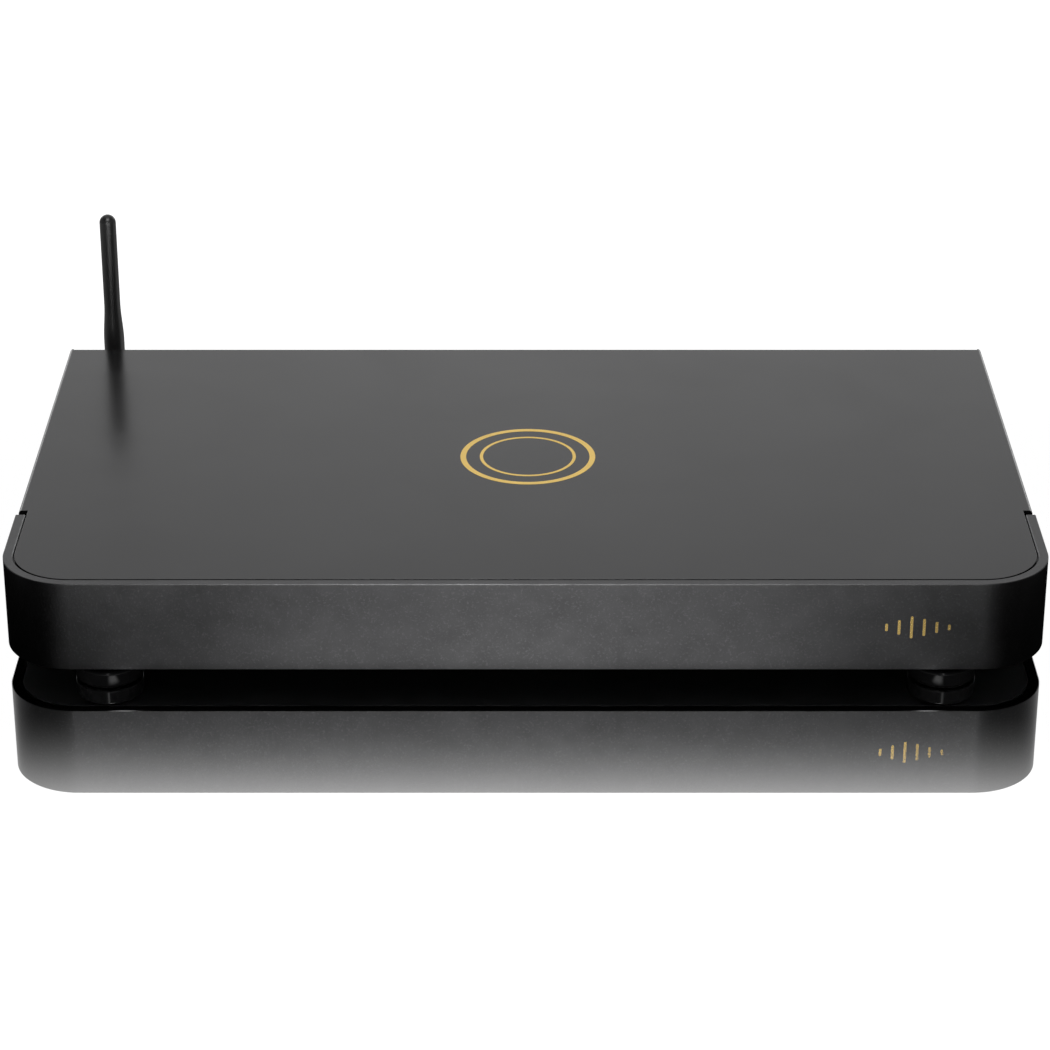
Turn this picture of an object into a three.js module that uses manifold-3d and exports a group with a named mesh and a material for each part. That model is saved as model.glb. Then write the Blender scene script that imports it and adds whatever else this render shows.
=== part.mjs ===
// A low, full-width network streamer: wrap-around front, folded cover, turned feet, rear sockets
// and a hinged antenna.
// Millimetres, +Z up, the front faces -Y. Pieces are laid out with y counted back from the front
// plane and z up from the table. The last section moves the whole so that its middle is the origin.

import * as THREE from 'three';
import { mergeVertices } from 'three/addons/utils/BufferGeometryUtils.js';
import Module from 'manifold-3d';

const wasm = await Module();
wasm.setup();

// Case
const caseWidth = 430;
const caseDepth = 249.5;
const bodyHeight = 39;
const footHeight = 9.5;
const fit = 0.3;
const pivotFit = 0.15;
const overrun = 1;

// Bezel: a thick band bent round both front corners, with an inner ledge for cover and tray
const bezelWall = 4.2;
const bezelCornerRadius = 29.5;
const bezelArmLength = 66.5;
const bezelChamfer = 0.5;
const bezelLedge = 2;

// Cover: one sheet, flush inside the bezel, folded down at the sides and the rear
const coverSheet = 1.5;
const coverSetIn = 0.7;
const coverBendRadius = 1.6;
const shadowGap = 0.55;
const notchLength = 3.6;
const rearLipDrop = 3.5;

// Tray: folded sheet with vents, pressed-in standoffs and tabs for the rear panel
const traySheet = 1.2;
const traySideHeight = 14;
const trayFrontHeight = 26;
const rearTabWidth = 14;
const rearTabHeight = 10;
const rearTabShares = [-0.72, 0.555, 0.96];
const ventWidth = 3;
const ventLength = 30;
const ventPitch = 7;
const ventCount = 7;

// Rear panel and the row of sockets on it
const panelSheet = 1.5;
const inletEdgeGap = 11;
const socketGap = 12;
const phonoOffset = 38;
const phonoSpacing = 20;
const coaxSpacing = 30;
const opticalSpacing = 22;

// Feet, turned, with a rubber pad below and a screw from inside the tray
const footRadius = 14;
const footNeckRadius = 9.5;
const footNeckHeight = 2;
const footShoulder = 1.2;
const footToeChamfer = 0.6;
const footSideInset = 43;
const frontFootInset = 14.7;
const rearFootInset = 32;
const padRadius = 11;
const padStand = 0.8;
const padSeatDepth = 1.2;
const footScrewRadius = 2;
const footScrewHeadRadius = 4;
const footScrewHeadHeight = 2.6;
const footScrewReach = 4;

// Mains inlet with a fuse drawer below it
const inletFlangeWidth = 50;
const inletFlangeRim = 1.1;
const inletFlangeThickness = 2;
const inletFlangeRadius = 3;
const inletScrewSpacing = 40;
const inletScrewHoleRadius = 1.7;
const inletBodyDepth = 20;
const inletWall = 1.3;
const recessWidth = 24.4;
const recessHeight = 16.4;
const recessDepth = 16.5;
const recessChamfer = 4.5;
const pinWidth = 2;
const pinHeight = 4;
const pinSpacing = 14;
const pinRise = 2;
const pinSetBack = 1;
const pinTabWidth = 0.8;
const pinTabLength = 8;
const drawerSlotHeight = 7;
const drawerWeb = 1.4;
const drawerDepth = 14.5;
const drawerFace = 1.5;
const drawerLip = 0.6;
const drawerGripWidth = 9;
const drawerGripDepth = 0.8;
const fuseRadius = 2.5;
const fuseLength = 20;
const fuseCapLength = 5.5;
const fuseCapStep = 0.15;
const drawerFuseFloor = 0.6;

// Mains switch
const switchFlangeWidth = 15;
const switchFlangeHeight = 21;
const switchFlangeThickness = 1.5;
const switchBodyDepth = 13;
const switchWall = 1.3;
const rockerWidth = 9.8;
const rockerRadius = 7.3;
const rockerCrown = 3.6;
const rockerDish = 2.6;
const rockerSkirt = 3;
const rockerStem = 5.4;
const rockerStemHalf = 1.6;
const rockerPivotDepth = 2.2;
const rockerPinRadius = 1.1;
const rockerPinLength = 1;
const rockerTilt = 9;

// Network socket
const lanOffset = 31;
const lanWidth = 16;
const lanHeight = 13.4;
const lanDepth = 21;
const lanNose = 0.8;
const lanMouthWidth = 11.9;
const lanMouthHeight = 7;
const lanLatchWidth = 6.2;
const lanLatchHeight = 1.6;
const lanKeyWidth = 3.4;
const lanKeyHeight = 1.4;
const lanMouthDepth = 13.5;

// Stacked USB socket
const usbOffset = 24;
const usbDepth = 17.5;
const usbNose = 0.8;
const usbWeb = 1.7;
const usbSideWall = 0.9;
const usbPortWidth = 12.6;
const usbPortHeight = 5.2;
const usbPortDepth = 13;
const usbTongueWidth = 11.2;
const usbTongueThickness = 1.9;
const usbTongueSetBack = 1;
const usbTongueDrop = 0.65;

// Optical output with a sprung shutter
const opticalWidth = 10.4;
const opticalHeight = 10.8;
const opticalDepth = 19;
const opticalNose = 1;
const opticalPortWidth = 8.6;
const opticalPortHeight = 8.8;
const opticalPortChamfer = 1.5;
const opticalPortDepth = 15;
const shutterThickness = 0.9;
const shutterSetBack = 6.5;
const shutterKnuckle = 0.6;
const shutterPinRadius = 0.45;
const shutterPinLength = 0.6;

// Phono sockets
const phonoBarrelRadius = 4.15;
const phonoBarrelLength = 9;
const phonoBoreRadius = 3.3;
const phonoFlangeRadius = 5.8;
const phonoFlangeThickness = 1.6;
const phonoStemRadius = 3.9;
const phonoStemLength = 9;
const phonoCoreSetBack = 0.5;
const phonoContactRadius = 1.6;
const phonoContactDepth = 8;

// Antenna: bulkhead socket, coupling nut, knuckle and whip
const antennaInset = 19;
const antennaHeight = 24;
const antennaBehind = 20;
const threadRadius = 3.17;
const socketFlangeRadius = 4.75;
const socketFlangeThickness = 1.6;
const socketTailRadius = 1.75;
const socketTailLength = 7;
const socketNutAcross = 8;
const socketNutThickness = 2.2;
const couplingRadius = 4.7;
const couplingLength = 8.6;
const couplingEndWall = 1.6;
const knurlCount = 20;
const knurlDepth = 0.25;
const ferruleRadius = 2.3;
const collarRadius = 2.9;
const collarThickness = 1;
const tongueThickness = 4.2;
const tongueEndRadius = 4.4;
const hingePinRadius = 1;
const whipBaseRadius = 4.8;
const whipRadius = 3.83;
const whipLength = 84;
const whipBaseLength = 21;
const whipFlareLength = 18.5;
const whipEdge = 0.4;

// Boards and what stands on them
const boardThickness = 1.6;
const boardRearGap = 2.5;
const boardGap = 6;
const standoffHeight = 6;
const standoffRadius = 3;
const standoffInset = 5;
const mainBoardSideGap = 55;
const converterMargin = 14;
const converterDepth = 75;
const supplyWidth = 85;
const supplyDepth = 95;
const moduleWidth = 68;
const moduleDepth = 50;
const moduleThickness = 3;
const moduleInset = 22;
const sinkWidth = 42;
const sinkDepth = 42;
const sinkBase = 2.5;
const sinkHeight = 12;
const sinkFinCount = 8;
const sinkFinThickness = 1.6;
const wirelessWidth = 22;
const wirelessDepth = 30;
const wirelessHeight = 2.4;
const capacitorRadius = 8;
const capacitorHeight = 21;
const capacitorCount = 3;
const capacitorPitch = 20;
const capacitorGrooveRise = 2.5;
const capacitorGroove = 0.6;
const capacitorEdge = 1;
const regulatorSinkWidth = 60;
const regulatorSinkDepth = 16;
const regulatorSinkHeight = 20;

// Transformer
const transformerRadius = 32;
const transformerBore = 10;
const transformerHeight = 24;
const transformerRounding = 7;
const transformerEdgeGap = 12;
const transformerClearance = 16;
const washerThickness = 1.5;
const washerRadius = 24;
const washerDish = 1.5;
const boltRadius = 3;
const boltHeadAcross = 10;
const boltHeadHeight = 3;

// Leads inside the case
const mainsLeadRadius = 2;
const supplyLeadRadius = 1.6;
const antennaLeadRadius = 0.8;
const leadBend = 15;
const leadInset = 9;
const leadSpread = 3;
const leadSides = 6;
const leadSteps = 12;

// Smoothness of round shapes
const cornerSteps = 6;
const smallCornerSteps = 2;
const roundingShares = [0, 0.5, 1];
const footSides = 28;
const antennaSides = 26;
const socketSides = 20;
const boltSides = 12;
const standoffSides = 8;

// Levels and planes that several pieces share
const undersideZ = footHeight;
const topZ = footHeight + bodyHeight;
const trayTopZ = undersideZ + traySheet;
const coverUnderZ = topZ - coverSheet;
const coverHalf = caseWidth / 2 - coverSetIn;
const coverFrontHalf = caseWidth / 2 - bezelWall - shadowGap;
const trayHalf = coverHalf - coverSheet - fit;
const notchEnd = bezelArmLength + notchLength;
const panelOuterY = caseDepth - coverSheet - fit;
const panelInnerY = panelOuterY - panelSheet;
const panelTopZ = coverUnderZ - fit;
const panelBottomZ = trayTopZ + fit;
const boardBottomZ = trayTopZ + standoffHeight + fit;
const boardTopZ = boardBottomZ + boardThickness;
const onBoardZ = boardTopZ + fit;
const socketRowZ = (panelBottomZ + topZ - rearLipDrop) / 2;

// Places across the rear panel
const inletX = trayHalf - inletEdgeGap - inletFlangeWidth / 2;
const switchX = inletX - inletFlangeWidth / 2 - socketGap - switchFlangeWidth / 2;
const phonoRightX = switchX - phonoOffset;
const phonoLeftX = phonoRightX - phonoSpacing;
const coaxX = phonoLeftX - coaxSpacing;
const opticalX = coaxX - opticalSpacing;
const antennaX = antennaInset - caseWidth / 2;

// Sizes worked out from their neighbours
const inletBodyWidth = recessWidth + 2 * inletWall;
const inletBodyHeight = recessHeight + drawerWeb + drawerSlotHeight + 2 * inletWall;
const recessMiddle = inletBodyHeight / 2 - inletWall - recessHeight / 2;
const drawerMiddle = inletWall + drawerSlotHeight / 2 - inletBodyHeight / 2;
const drawerWidth = recessWidth - 2 * fit;
const drawerHeight = drawerSlotHeight - 2 * fit;
const windowWidth = rockerWidth + 2 * fit;
const windowHeight = 2 * (rockerRadius + fit);
const switchBodyWidth = windowWidth + 2 * switchWall;
const switchBodyHeight = windowHeight + 2 * switchWall;
const usbWidth = usbPortWidth + 2 * usbSideWall;
const usbHeight = 2 * usbPortHeight + 3 * usbWeb;
const couplingStart = fit + socketNutThickness + fit;
const couplingWallY = couplingStart + couplingLength - couplingEndWall;
const collarStart = couplingWallY - fit - collarThickness;
const threadReach = collarStart - fit;
const pivotReach = caseDepth + antennaBehind - panelOuterY;
const shoulderEnd = pivotReach - whipBaseRadius - fit;

// Boards, each with its limits left to right and front to rear
const boardRear = panelInnerY - boardRearGap;
const converterBoard = {
  left: opticalX - converterMargin,
  right: phonoRightX + converterMargin,
  front: boardRear - converterDepth,
  rear: boardRear,
};
const wirelessY = boardRear - lanDepth - boardGap - wirelessDepth / 2;
const moduleY = wirelessY - wirelessDepth / 2 - boardGap - moduleDepth / 2;
const supplyLeadY = moduleY - moduleDepth / 2 - boardGap;
const mainBoard = {
  left: mainBoardSideGap - trayHalf,
  right: converterBoard.left - boardGap,
  front: supplyLeadY - leadInset,
  rear: boardRear,
};
const transformerX = trayHalf - traySheet - transformerEdgeGap - transformerRadius;
const transformerY = panelOuterY - inletBodyDepth - pinTabLength - transformerClearance - transformerRadius;
const supplyRight = transformerX - transformerRadius - boardGap;
const supplyBoard = {
  left: supplyRight - supplyWidth,
  right: supplyRight,
  front: converterBoard.front - boardGap - supplyDepth,
  rear: converterBoard.front - boardGap,
};
const boards = [converterBoard, mainBoard, supplyBoard];
const usbX = mainBoard.right - usbOffset;
const lanX = usbX - lanOffset;
const moduleX = mainBoard.left + moduleInset + moduleWidth / 2;
const wirelessX = mainBoard.left + standoffInset + standoffRadius + wirelessWidth / 2;

// Materials
function finish(name, color, roughness, metalness) {
  return new THREE.MeshStandardMaterial({ name, color, roughness, metalness });
}
const blastedBlack = finish('blasted_black_aluminium', 0x2b2b2c, 0.5, 0.8);
const coverBlack = finish('cover_black_aluminium', 0x3b3b3c, 0.42, 0.7);
const steelBlack = finish('black_steel', 0x1b1b1c, 0.6, 0.4);
const plasticBlack = finish('black_plastic', 0x121213, 0.45, 0);
const glossBlack = finish('gloss_black', 0x0a0a0a, 0.2, 0);
const rubber = finish('rubber', 0x171717, 0.85, 0);
const zinc = finish('zinc_steel', 0xb9bcc0, 0.35, 0.9);
const nickel = finish('nickel', 0xc9c6bd, 0.28, 1);
const gold = finish('gold_plate', 0xc9a24b, 0.25, 1);
const whitePlastic = finish('white_plastic', 0xe6e4de, 0.5, 0);
const redPlastic = finish('red_plastic', 0x9d1c1c, 0.45, 0);
const orangePlastic = finish('orange_plastic', 0xc8641b, 0.45, 0);
const glass = finish('glass', 0xdfe6e8, 0.1, 0);
const boardGreen = finish('board_green', 0x1d4a33, 0.5, 0);
const sinkBlack = finish('sink_black_aluminium', 0x1a1a1b, 0.5, 0.7);
const windingTape = finish('winding_tape', 0xc08a2e, 0.4, 0);
const sleeveBlue = finish('capacitor_sleeve', 0x1f2f5a, 0.4, 0);
const cableGrey = finish('cable_grey', 0x6d6f72, 0.6, 0);

// Directions: each frame turns a shape drawn flat, or turned about y, to where it is needed
const xAxis = new THREE.Vector3(1, 0, 0);
const yAxis = new THREE.Vector3(0, 1, 0);
const zAxis = new THREE.Vector3(0, 0, 1);
const standing = new THREE.Matrix4().makeBasis(xAxis, zAxis, yAxis.clone().negate());
const acrossX = new THREE.Matrix4().makeBasis(yAxis, zAxis, xAxis);
const shaftX = new THREE.Matrix4().makeBasis(zAxis, xAxis, yAxis);

// Closed geometry to solid, solid back to geometry
function asSolid(piece) {
  if (!piece.isBufferGeometry) return piece;
  piece.deleteAttribute('normal');
  piece.deleteAttribute('uv');
  const merged = mergeVertices(piece);
  const corners = merged.index.array;
  const kept = [];
  for (let i = 0; i < corners.length; i += 3) {
    const [a, b, c] = corners.slice(i, i + 3);
    if (a !== b && b !== c && c !== a) kept.push(a, b, c);
  }
  const mesh = new wasm.Mesh({
    numProp: 3,
    vertProperties: merged.attributes.position.array,
    triVerts: new Uint32Array(kept),
  });
  return new wasm.Manifold(mesh);
}

function asGeometry(solid) {
  const { vertProperties, triVerts } = solid.getMesh();
  const geometry = new THREE.BufferGeometry();
  geometry.setAttribute('position', new THREE.BufferAttribute(vertProperties, 3));
  geometry.setIndex(new THREE.BufferAttribute(triVerts, 1));
  geometry.computeVertexNormals();
  return geometry;
}

function joined(...pieces) {
  return pieces.map(asSolid).reduce((whole, piece) => whole.add(piece));
}

function cut(piece, ...tools) {
  return tools.map(asSolid).reduce((rest, tool) => rest.subtract(tool), asSolid(piece));
}

function shared(first, second) {
  return asSolid(first).intersect(asSolid(second));
}

function add(group, name, piece, material, place = [0, 0, 0]) {
  const mesh = new THREE.Mesh(asGeometry(asSolid(piece)), material);
  mesh.name = name;
  mesh.position.set(...place);
  group.add(mesh);
}

// Basic forms: a block between two corners, a raised outline, a turned profile, a plain rod
function block(low, high) {
  const size = high.map((value, i) => value - low[i]);
  const middle = high.map((value, i) => (value + low[i]) / 2);
  return new THREE.BoxGeometry(...size).translate(...middle);
}

function raised(outline, height, curveSegments = smallCornerSteps) {
  return new THREE.ExtrudeGeometry(outline, { depth: height, bevelEnabled: false, curveSegments });
}

function turned(profile, sides) {
  const points = profile.map(([radius, along]) => new THREE.Vector2(radius, along));
  return new THREE.LatheGeometry(points, sides);
}

function rod(radius, from, to, sides) {
  return turned([[0, from], [radius, from], [radius, to], [0, to]], sides);
}

function outlineOf(points) {
  return new THREE.Shape(points.map(([x, y]) => new THREE.Vector2(x, y)));
}

function roundedRectangle(width, height, radius) {
  const x = width / 2;
  const y = height / 2;
  const outline = new THREE.Shape();
  outline.moveTo(radius - x, -y);
  outline.lineTo(x - radius, -y);
  outline.absarc(x - radius, radius - y, radius, -Math.PI / 2, 0);
  outline.absarc(x - radius, y - radius, radius, 0, Math.PI / 2);
  outline.absarc(radius - x, y - radius, radius, Math.PI / 2, Math.PI);
  outline.absarc(radius - x, radius - y, radius, Math.PI, 1.5 * Math.PI);
  return outline;
}

function hexagon(across) {
  const corner = across / Math.sqrt(3);
  const points = Array.from({ length: 6 }, (_, i) => [
    corner * Math.cos(i * Math.PI / 3),
    corner * Math.sin(i * Math.PI / 3),
  ]);
  return outlineOf(points);
}

// An outline in the x-z plane, run from one depth to a deeper one
function throughY(outline, from, to, curveSegments) {
  return raised(outline, to - from, curveSegments).applyMatrix4(standing).translate(0, to, 0);
}

// An outline in the y-z plane, as wide as given and centred on x
function acrossWidth(outline, width, curveSegments) {
  return raised(outline, width, curveSegments).applyMatrix4(acrossX).translate(-width / 2, 0, 0);
}

// Front bezel
const bezelCornerX = caseWidth / 2 - bezelCornerRadius;

function bezelBand(inset, thickness) {
  const outer = caseWidth / 2 - inset;
  const inner = outer - thickness;
  const outerRadius = bezelCornerRadius - inset;
  const innerRadius = outerRadius - thickness;
  const band = new THREE.Shape();
  band.moveTo(-outer, bezelArmLength);
  band.lineTo(-outer, bezelCornerRadius);
  band.absarc(-bezelCornerX, bezelCornerRadius, outerRadius, Math.PI, 1.5 * Math.PI);
  band.absarc(bezelCornerX, bezelCornerRadius, outerRadius, 1.5 * Math.PI, 2 * Math.PI);
  band.lineTo(outer, bezelArmLength);
  band.lineTo(inner, bezelArmLength);
  band.absarc(bezelCornerX, bezelCornerRadius, innerRadius, 2 * Math.PI, 1.5 * Math.PI, true);
  band.absarc(-bezelCornerX, bezelCornerRadius, innerRadius, 1.5 * Math.PI, Math.PI, true);
  band.lineTo(-inner, bezelArmLength);
  return band;
}

function frontBezel() {
  const wall = new THREE.ExtrudeGeometry(bezelBand(0, bezelWall), {
    depth: bodyHeight - 2 * bezelChamfer,
    bevelThickness: bezelChamfer,
    bevelSize: bezelChamfer,
    bevelOffset: -bezelChamfer,
    bevelSegments: 1,
    curveSegments: cornerSteps,
  });
  wall.translate(0, 0, undersideZ + bezelChamfer);
  const ledgeBottom = trayTopZ + fit;
  const ledgeHeight = coverUnderZ - fit - ledgeBottom;
  const sunk = bezelWall / 2;
  const ledge = raised(bezelBand(sunk, bezelWall - sunk + bezelLedge), ledgeHeight, cornerSteps);
  return joined(wall, ledge.translate(0, 0, ledgeBottom));
}

// Sheet plan shared by cover and tray: rounded front corners inside the bezel
function insetPlan(rearY) {
  const front = bezelWall + shadowGap;
  const radius = bezelCornerRadius - front;
  const plan = new THREE.Shape();
  plan.moveTo(-coverFrontHalf, rearY);
  plan.lineTo(-coverFrontHalf, bezelCornerRadius);
  plan.absarc(-bezelCornerX, bezelCornerRadius, radius, Math.PI, 1.5 * Math.PI);
  plan.absarc(bezelCornerX, bezelCornerRadius, radius, 1.5 * Math.PI, 2 * Math.PI);
  plan.lineTo(coverFrontHalf, rearY);
  return plan;
}

// Top cover
function coverSection() {
  const inner = coverHalf - coverSheet;
  const bend = coverHalf - coverBendRadius;
  const innerBend = coverBendRadius - coverSheet;
  const section = new THREE.Shape();
  section.moveTo(-coverHalf, undersideZ);
  section.lineTo(-inner, undersideZ);
  section.absarc(-bend, topZ - coverBendRadius, innerBend, Math.PI, Math.PI / 2, true);
  section.absarc(bend, topZ - coverBendRadius, innerBend, Math.PI / 2, 0, true);
  section.lineTo(inner, undersideZ);
  section.lineTo(coverHalf, undersideZ);
  section.absarc(bend, topZ - coverBendRadius, coverBendRadius, 0, Math.PI / 2);
  section.absarc(-bend, topZ - coverBendRadius, coverBendRadius, Math.PI / 2, Math.PI);
  return section;
}

function rearFold() {
  const bendY = caseDepth - coverBendRadius;
  const bendZ = topZ - coverBendRadius;
  const innerBend = coverBendRadius - coverSheet;
  const fold = new THREE.Shape();
  fold.moveTo(bendY - coverSheet, topZ);
  fold.lineTo(bendY - coverSheet, coverUnderZ);
  fold.absarc(bendY, bendZ, innerBend, Math.PI / 2, 0, true);
  fold.lineTo(caseDepth - coverSheet, topZ - rearLipDrop);
  fold.lineTo(caseDepth, topZ - rearLipDrop);
  fold.absarc(bendY, bendZ, coverBendRadius, 0, Math.PI / 2);
  return acrossWidth(fold, 2 * (coverHalf - coverBendRadius));
}

function topCover() {
  const bendY = caseDepth - coverBendRadius;
  const sheet = raised(insetPlan(bendY), coverSheet, cornerSteps).translate(0, 0, coverUnderZ);
  return joined(sheet, throughY(coverSection(), notchEnd, bendY), rearFold());
}

// Chassis tray
const frontFlangeY = bezelWall + bezelLedge + fit;
const footX = caseWidth / 2 - footSideInset;
const frontFootY = frontFootInset;
const rearFootY = caseDepth - rearFootInset;
const feet = [
  { name: 'front_left', x: -footX, y: frontFootY },
  { name: 'front_right', x: footX, y: frontFootY },
  { name: 'rear_left', x: -footX, y: rearFootY },
  { name: 'rear_right', x: footX, y: rearFootY },
];

function uprightRod(radius, from, to, sides) {
  return rod(radius, from, to, sides).applyMatrix4(standing);
}

function ventTools(middleX, middleY) {
  const slot = roundedRectangle(ventWidth, ventLength, ventWidth / 2);
  return Array.from({ length: ventCount }, (_, i) => {
    const x = middleX + (i - (ventCount - 1) / 2) * ventPitch;
    return raised(slot, traySheet + 2 * overrun).translate(x, middleY, undersideZ - overrun);
  });
}

function standoffs(board) {
  const xs = [board.left + standoffInset, board.right - standoffInset];
  const ys = [board.front + standoffInset, board.rear - standoffInset];
  return xs.flatMap((x) => ys.map((y) => (
    uprightRod(standoffRadius, trayTopZ - traySheet / 2, trayTopZ + standoffHeight, standoffSides)
      .translate(x, y, 0)
  )));
}

function chassisTray() {
  const floor = joined(
    raised(insetPlan(panelOuterY), traySheet, cornerSteps).translate(0, 0, undersideZ),
    block([-trayHalf, notchEnd, undersideZ], [trayHalf, panelOuterY, trayTopZ]),
  );
  const sides = [-1, 1].map((side) => {
    const edges = [side * trayHalf, side * (trayHalf - traySheet)];
    const low = [Math.min(...edges), notchEnd, undersideZ];
    const high = [Math.max(...edges), panelInnerY - fit, undersideZ + traySideHeight];
    return block(low, high);
  });
  const front = block(
    [-bezelCornerX, frontFlangeY, undersideZ],
    [bezelCornerX, frontFlangeY + traySheet, undersideZ + trayFrontHeight],
  );
  const tabs = rearTabShares.map((share) => {
    const x = share * trayHalf;
    const low = [x - rearTabWidth / 2, panelInnerY - fit - traySheet, undersideZ];
    const high = [x + rearTabWidth / 2, panelInnerY - fit, undersideZ + rearTabHeight];
    return block(low, high);
  });
  const footHoles = feet.map(({ x, y }) => (
    uprightRod(footScrewRadius + fit, undersideZ - overrun, trayTopZ + overrun, boltSides)
      .translate(x, y, 0)
  ));
  const boltHole = uprightRod(boltRadius + fit, undersideZ - overrun, trayTopZ + overrun, boltSides)
    .translate(transformerX, transformerY, 0);
  return cut(
    joined(floor, front, ...sides, ...tabs, ...boards.flatMap(standoffs)),
    ...footHoles,
    boltHole,
    ...ventTools(moduleX, moduleY),
    ...ventTools((supplyBoard.left + supplyBoard.right) / 2, (supplyBoard.front + supplyBoard.rear) / 2),
  );
}

// Rear panel: each cut-out follows the piece that passes through it
function window(width, height, x, z) {
  const outline = roundedRectangle(width + 2 * fit, height + 2 * fit, fit);
  return throughY(outline, panelInnerY - overrun, panelOuterY + overrun).translate(x, 0, z);
}

function roundHole(radius, x, z, sides = socketSides) {
  return rod(radius, panelInnerY - overrun, panelOuterY + overrun, sides).translate(x, 0, z);
}

function rearPanel() {
  const sheet = block([-trayHalf, panelInnerY, panelBottomZ], [trayHalf, panelOuterY, panelTopZ]);
  const screwHoles = [-1, 1].map((side) => (
    roundHole(inletScrewHoleRadius, inletX + side * inletScrewSpacing / 2, socketRowZ, boltSides)
  ));
  const phonoHoles = [phonoRightX, phonoLeftX, coaxX].map((x) => (
    roundHole(phonoStemRadius + fit, x, socketRowZ)
  ));
  return cut(
    sheet,
    window(inletBodyWidth, inletBodyHeight, inletX, socketRowZ),
    window(switchBodyWidth, switchBodyHeight, switchX, socketRowZ),
    window(lanWidth, lanHeight, lanX, onBoardZ + lanHeight / 2),
    window(usbWidth, usbHeight, usbX, onBoardZ + usbHeight / 2),
    window(opticalWidth, opticalHeight, opticalX, onBoardZ + opticalHeight / 2),
    roundHole(threadRadius + fit, antennaX, antennaHeight),
    ...screwHoles,
    ...phonoHoles,
  );
}

// Feet
function foot() {
  const top = footHeight - fit;
  const seat = padStand + padSeatDepth;
  const shoulderZ = footHeight - footNeckHeight;
  const screwEnd = footHeight - footScrewReach - fit;
  const shoulder = roundingShares.map((share) => {
    const angle = share * Math.PI / 2;
    return [
      footRadius - footShoulder * (1 - Math.cos(angle)),
      shoulderZ - footShoulder * (1 - Math.sin(angle)),
    ];
  });
  return turned([
    [0, seat],
    [padRadius + fit, seat],
    [padRadius + fit, padStand],
    [footRadius - footToeChamfer, padStand],
    [footRadius, padStand + footToeChamfer],
    ...shoulder,
    [footNeckRadius, shoulderZ],
    [footNeckRadius, top],
    [footScrewRadius + fit, top],
    [footScrewRadius + fit, screwEnd],
    [0, screwEnd],
  ], footSides).applyMatrix4(standing);
}

function footPad() {
  return uprightRod(padRadius, 0, padStand + padSeatDepth - fit, footSides);
}

function footScrew() {
  const headBottom = trayTopZ + fit;
  return turned([
    [0, footHeight - footScrewReach],
    [footScrewRadius, footHeight - footScrewReach],
    [footScrewRadius, headBottom],
    [footScrewHeadRadius, headBottom],
    [footScrewHeadRadius, headBottom + footScrewHeadHeight],
    [0, headBottom + footScrewHeadHeight],
  ], boltSides).applyMatrix4(standing);
}

// Mains inlet, drawn about the middle of its body with y = 0 on the panel's outer face
function recessOutline() {
  const x = recessWidth / 2;
  const z = recessHeight / 2;
  return outlineOf([
    [-x, -z],
    [x, -z],
    [x, z - recessChamfer],
    [x - recessChamfer, z],
    [recessChamfer - x, z],
    [-x, z - recessChamfer],
  ]);
}

const inletPins = [
  { name: 'live', x: -pinSpacing / 2, z: recessMiddle - pinRise },
  { name: 'neutral', x: pinSpacing / 2, z: recessMiddle - pinRise },
  { name: 'earth', x: 0, z: recessMiddle + pinRise },
];

function mainsInlet() {
  const face = inletFlangeThickness;
  const flangeHeight = inletBodyHeight + 2 * inletFlangeRim;
  const flange = roundedRectangle(inletFlangeWidth, flangeHeight, inletFlangeRadius);
  const body = block(
    [-inletBodyWidth / 2, -inletBodyDepth, -inletBodyHeight / 2],
    [inletBodyWidth / 2, face, inletBodyHeight / 2],
  );
  const recess = throughY(recessOutline(), face - recessDepth, face + overrun).translate(0, 0, recessMiddle);
  const slot = block(
    [-recessWidth / 2, face - drawerDepth - fit, drawerMiddle - drawerSlotHeight / 2],
    [recessWidth / 2, face + overrun, drawerMiddle + drawerSlotHeight / 2],
  );
  const pinSlots = inletPins.map(({ x, z }) => block(
    [x - pinWidth / 2 - fit, -inletBodyDepth - overrun, z - pinHeight / 2 - fit],
    [x + pinWidth / 2 + fit, face, z + pinHeight / 2 + fit],
  ));
  const screwHoles = [-1, 1].map((side) => (
    rod(inletScrewHoleRadius, -overrun, face + overrun, boltSides)
      .translate(side * inletScrewSpacing / 2, 0, 0)
  ));
  return cut(joined(throughY(flange, fit, face), body), recess, slot, ...pinSlots, ...screwHoles);
}

function inletPin() {
  const tip = inletFlangeThickness - pinSetBack;
  return joined(
    block([-pinWidth / 2, -inletBodyDepth, -pinHeight / 2], [pinWidth / 2, tip, pinHeight / 2]),
    block(
      [-pinTabWidth / 2, -inletBodyDepth - pinTabLength, -pinHeight / 2],
      [pinTabWidth / 2, -inletBodyDepth, pinHeight / 2],
    ),
  );
}

// Fuse drawer, a trough that carries the fuse crosswise behind its face
const drawerBack = inletFlangeThickness - drawerDepth;
const drawerFaceBack = inletFlangeThickness + fit;
const fusePocket = 2 * (fuseRadius + fit);
const fuseY = inletFlangeThickness - drawerDepth / 2;
const fuseZ = drawerFuseFloor - drawerHeight / 2 + fuseRadius + fit;

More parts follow.
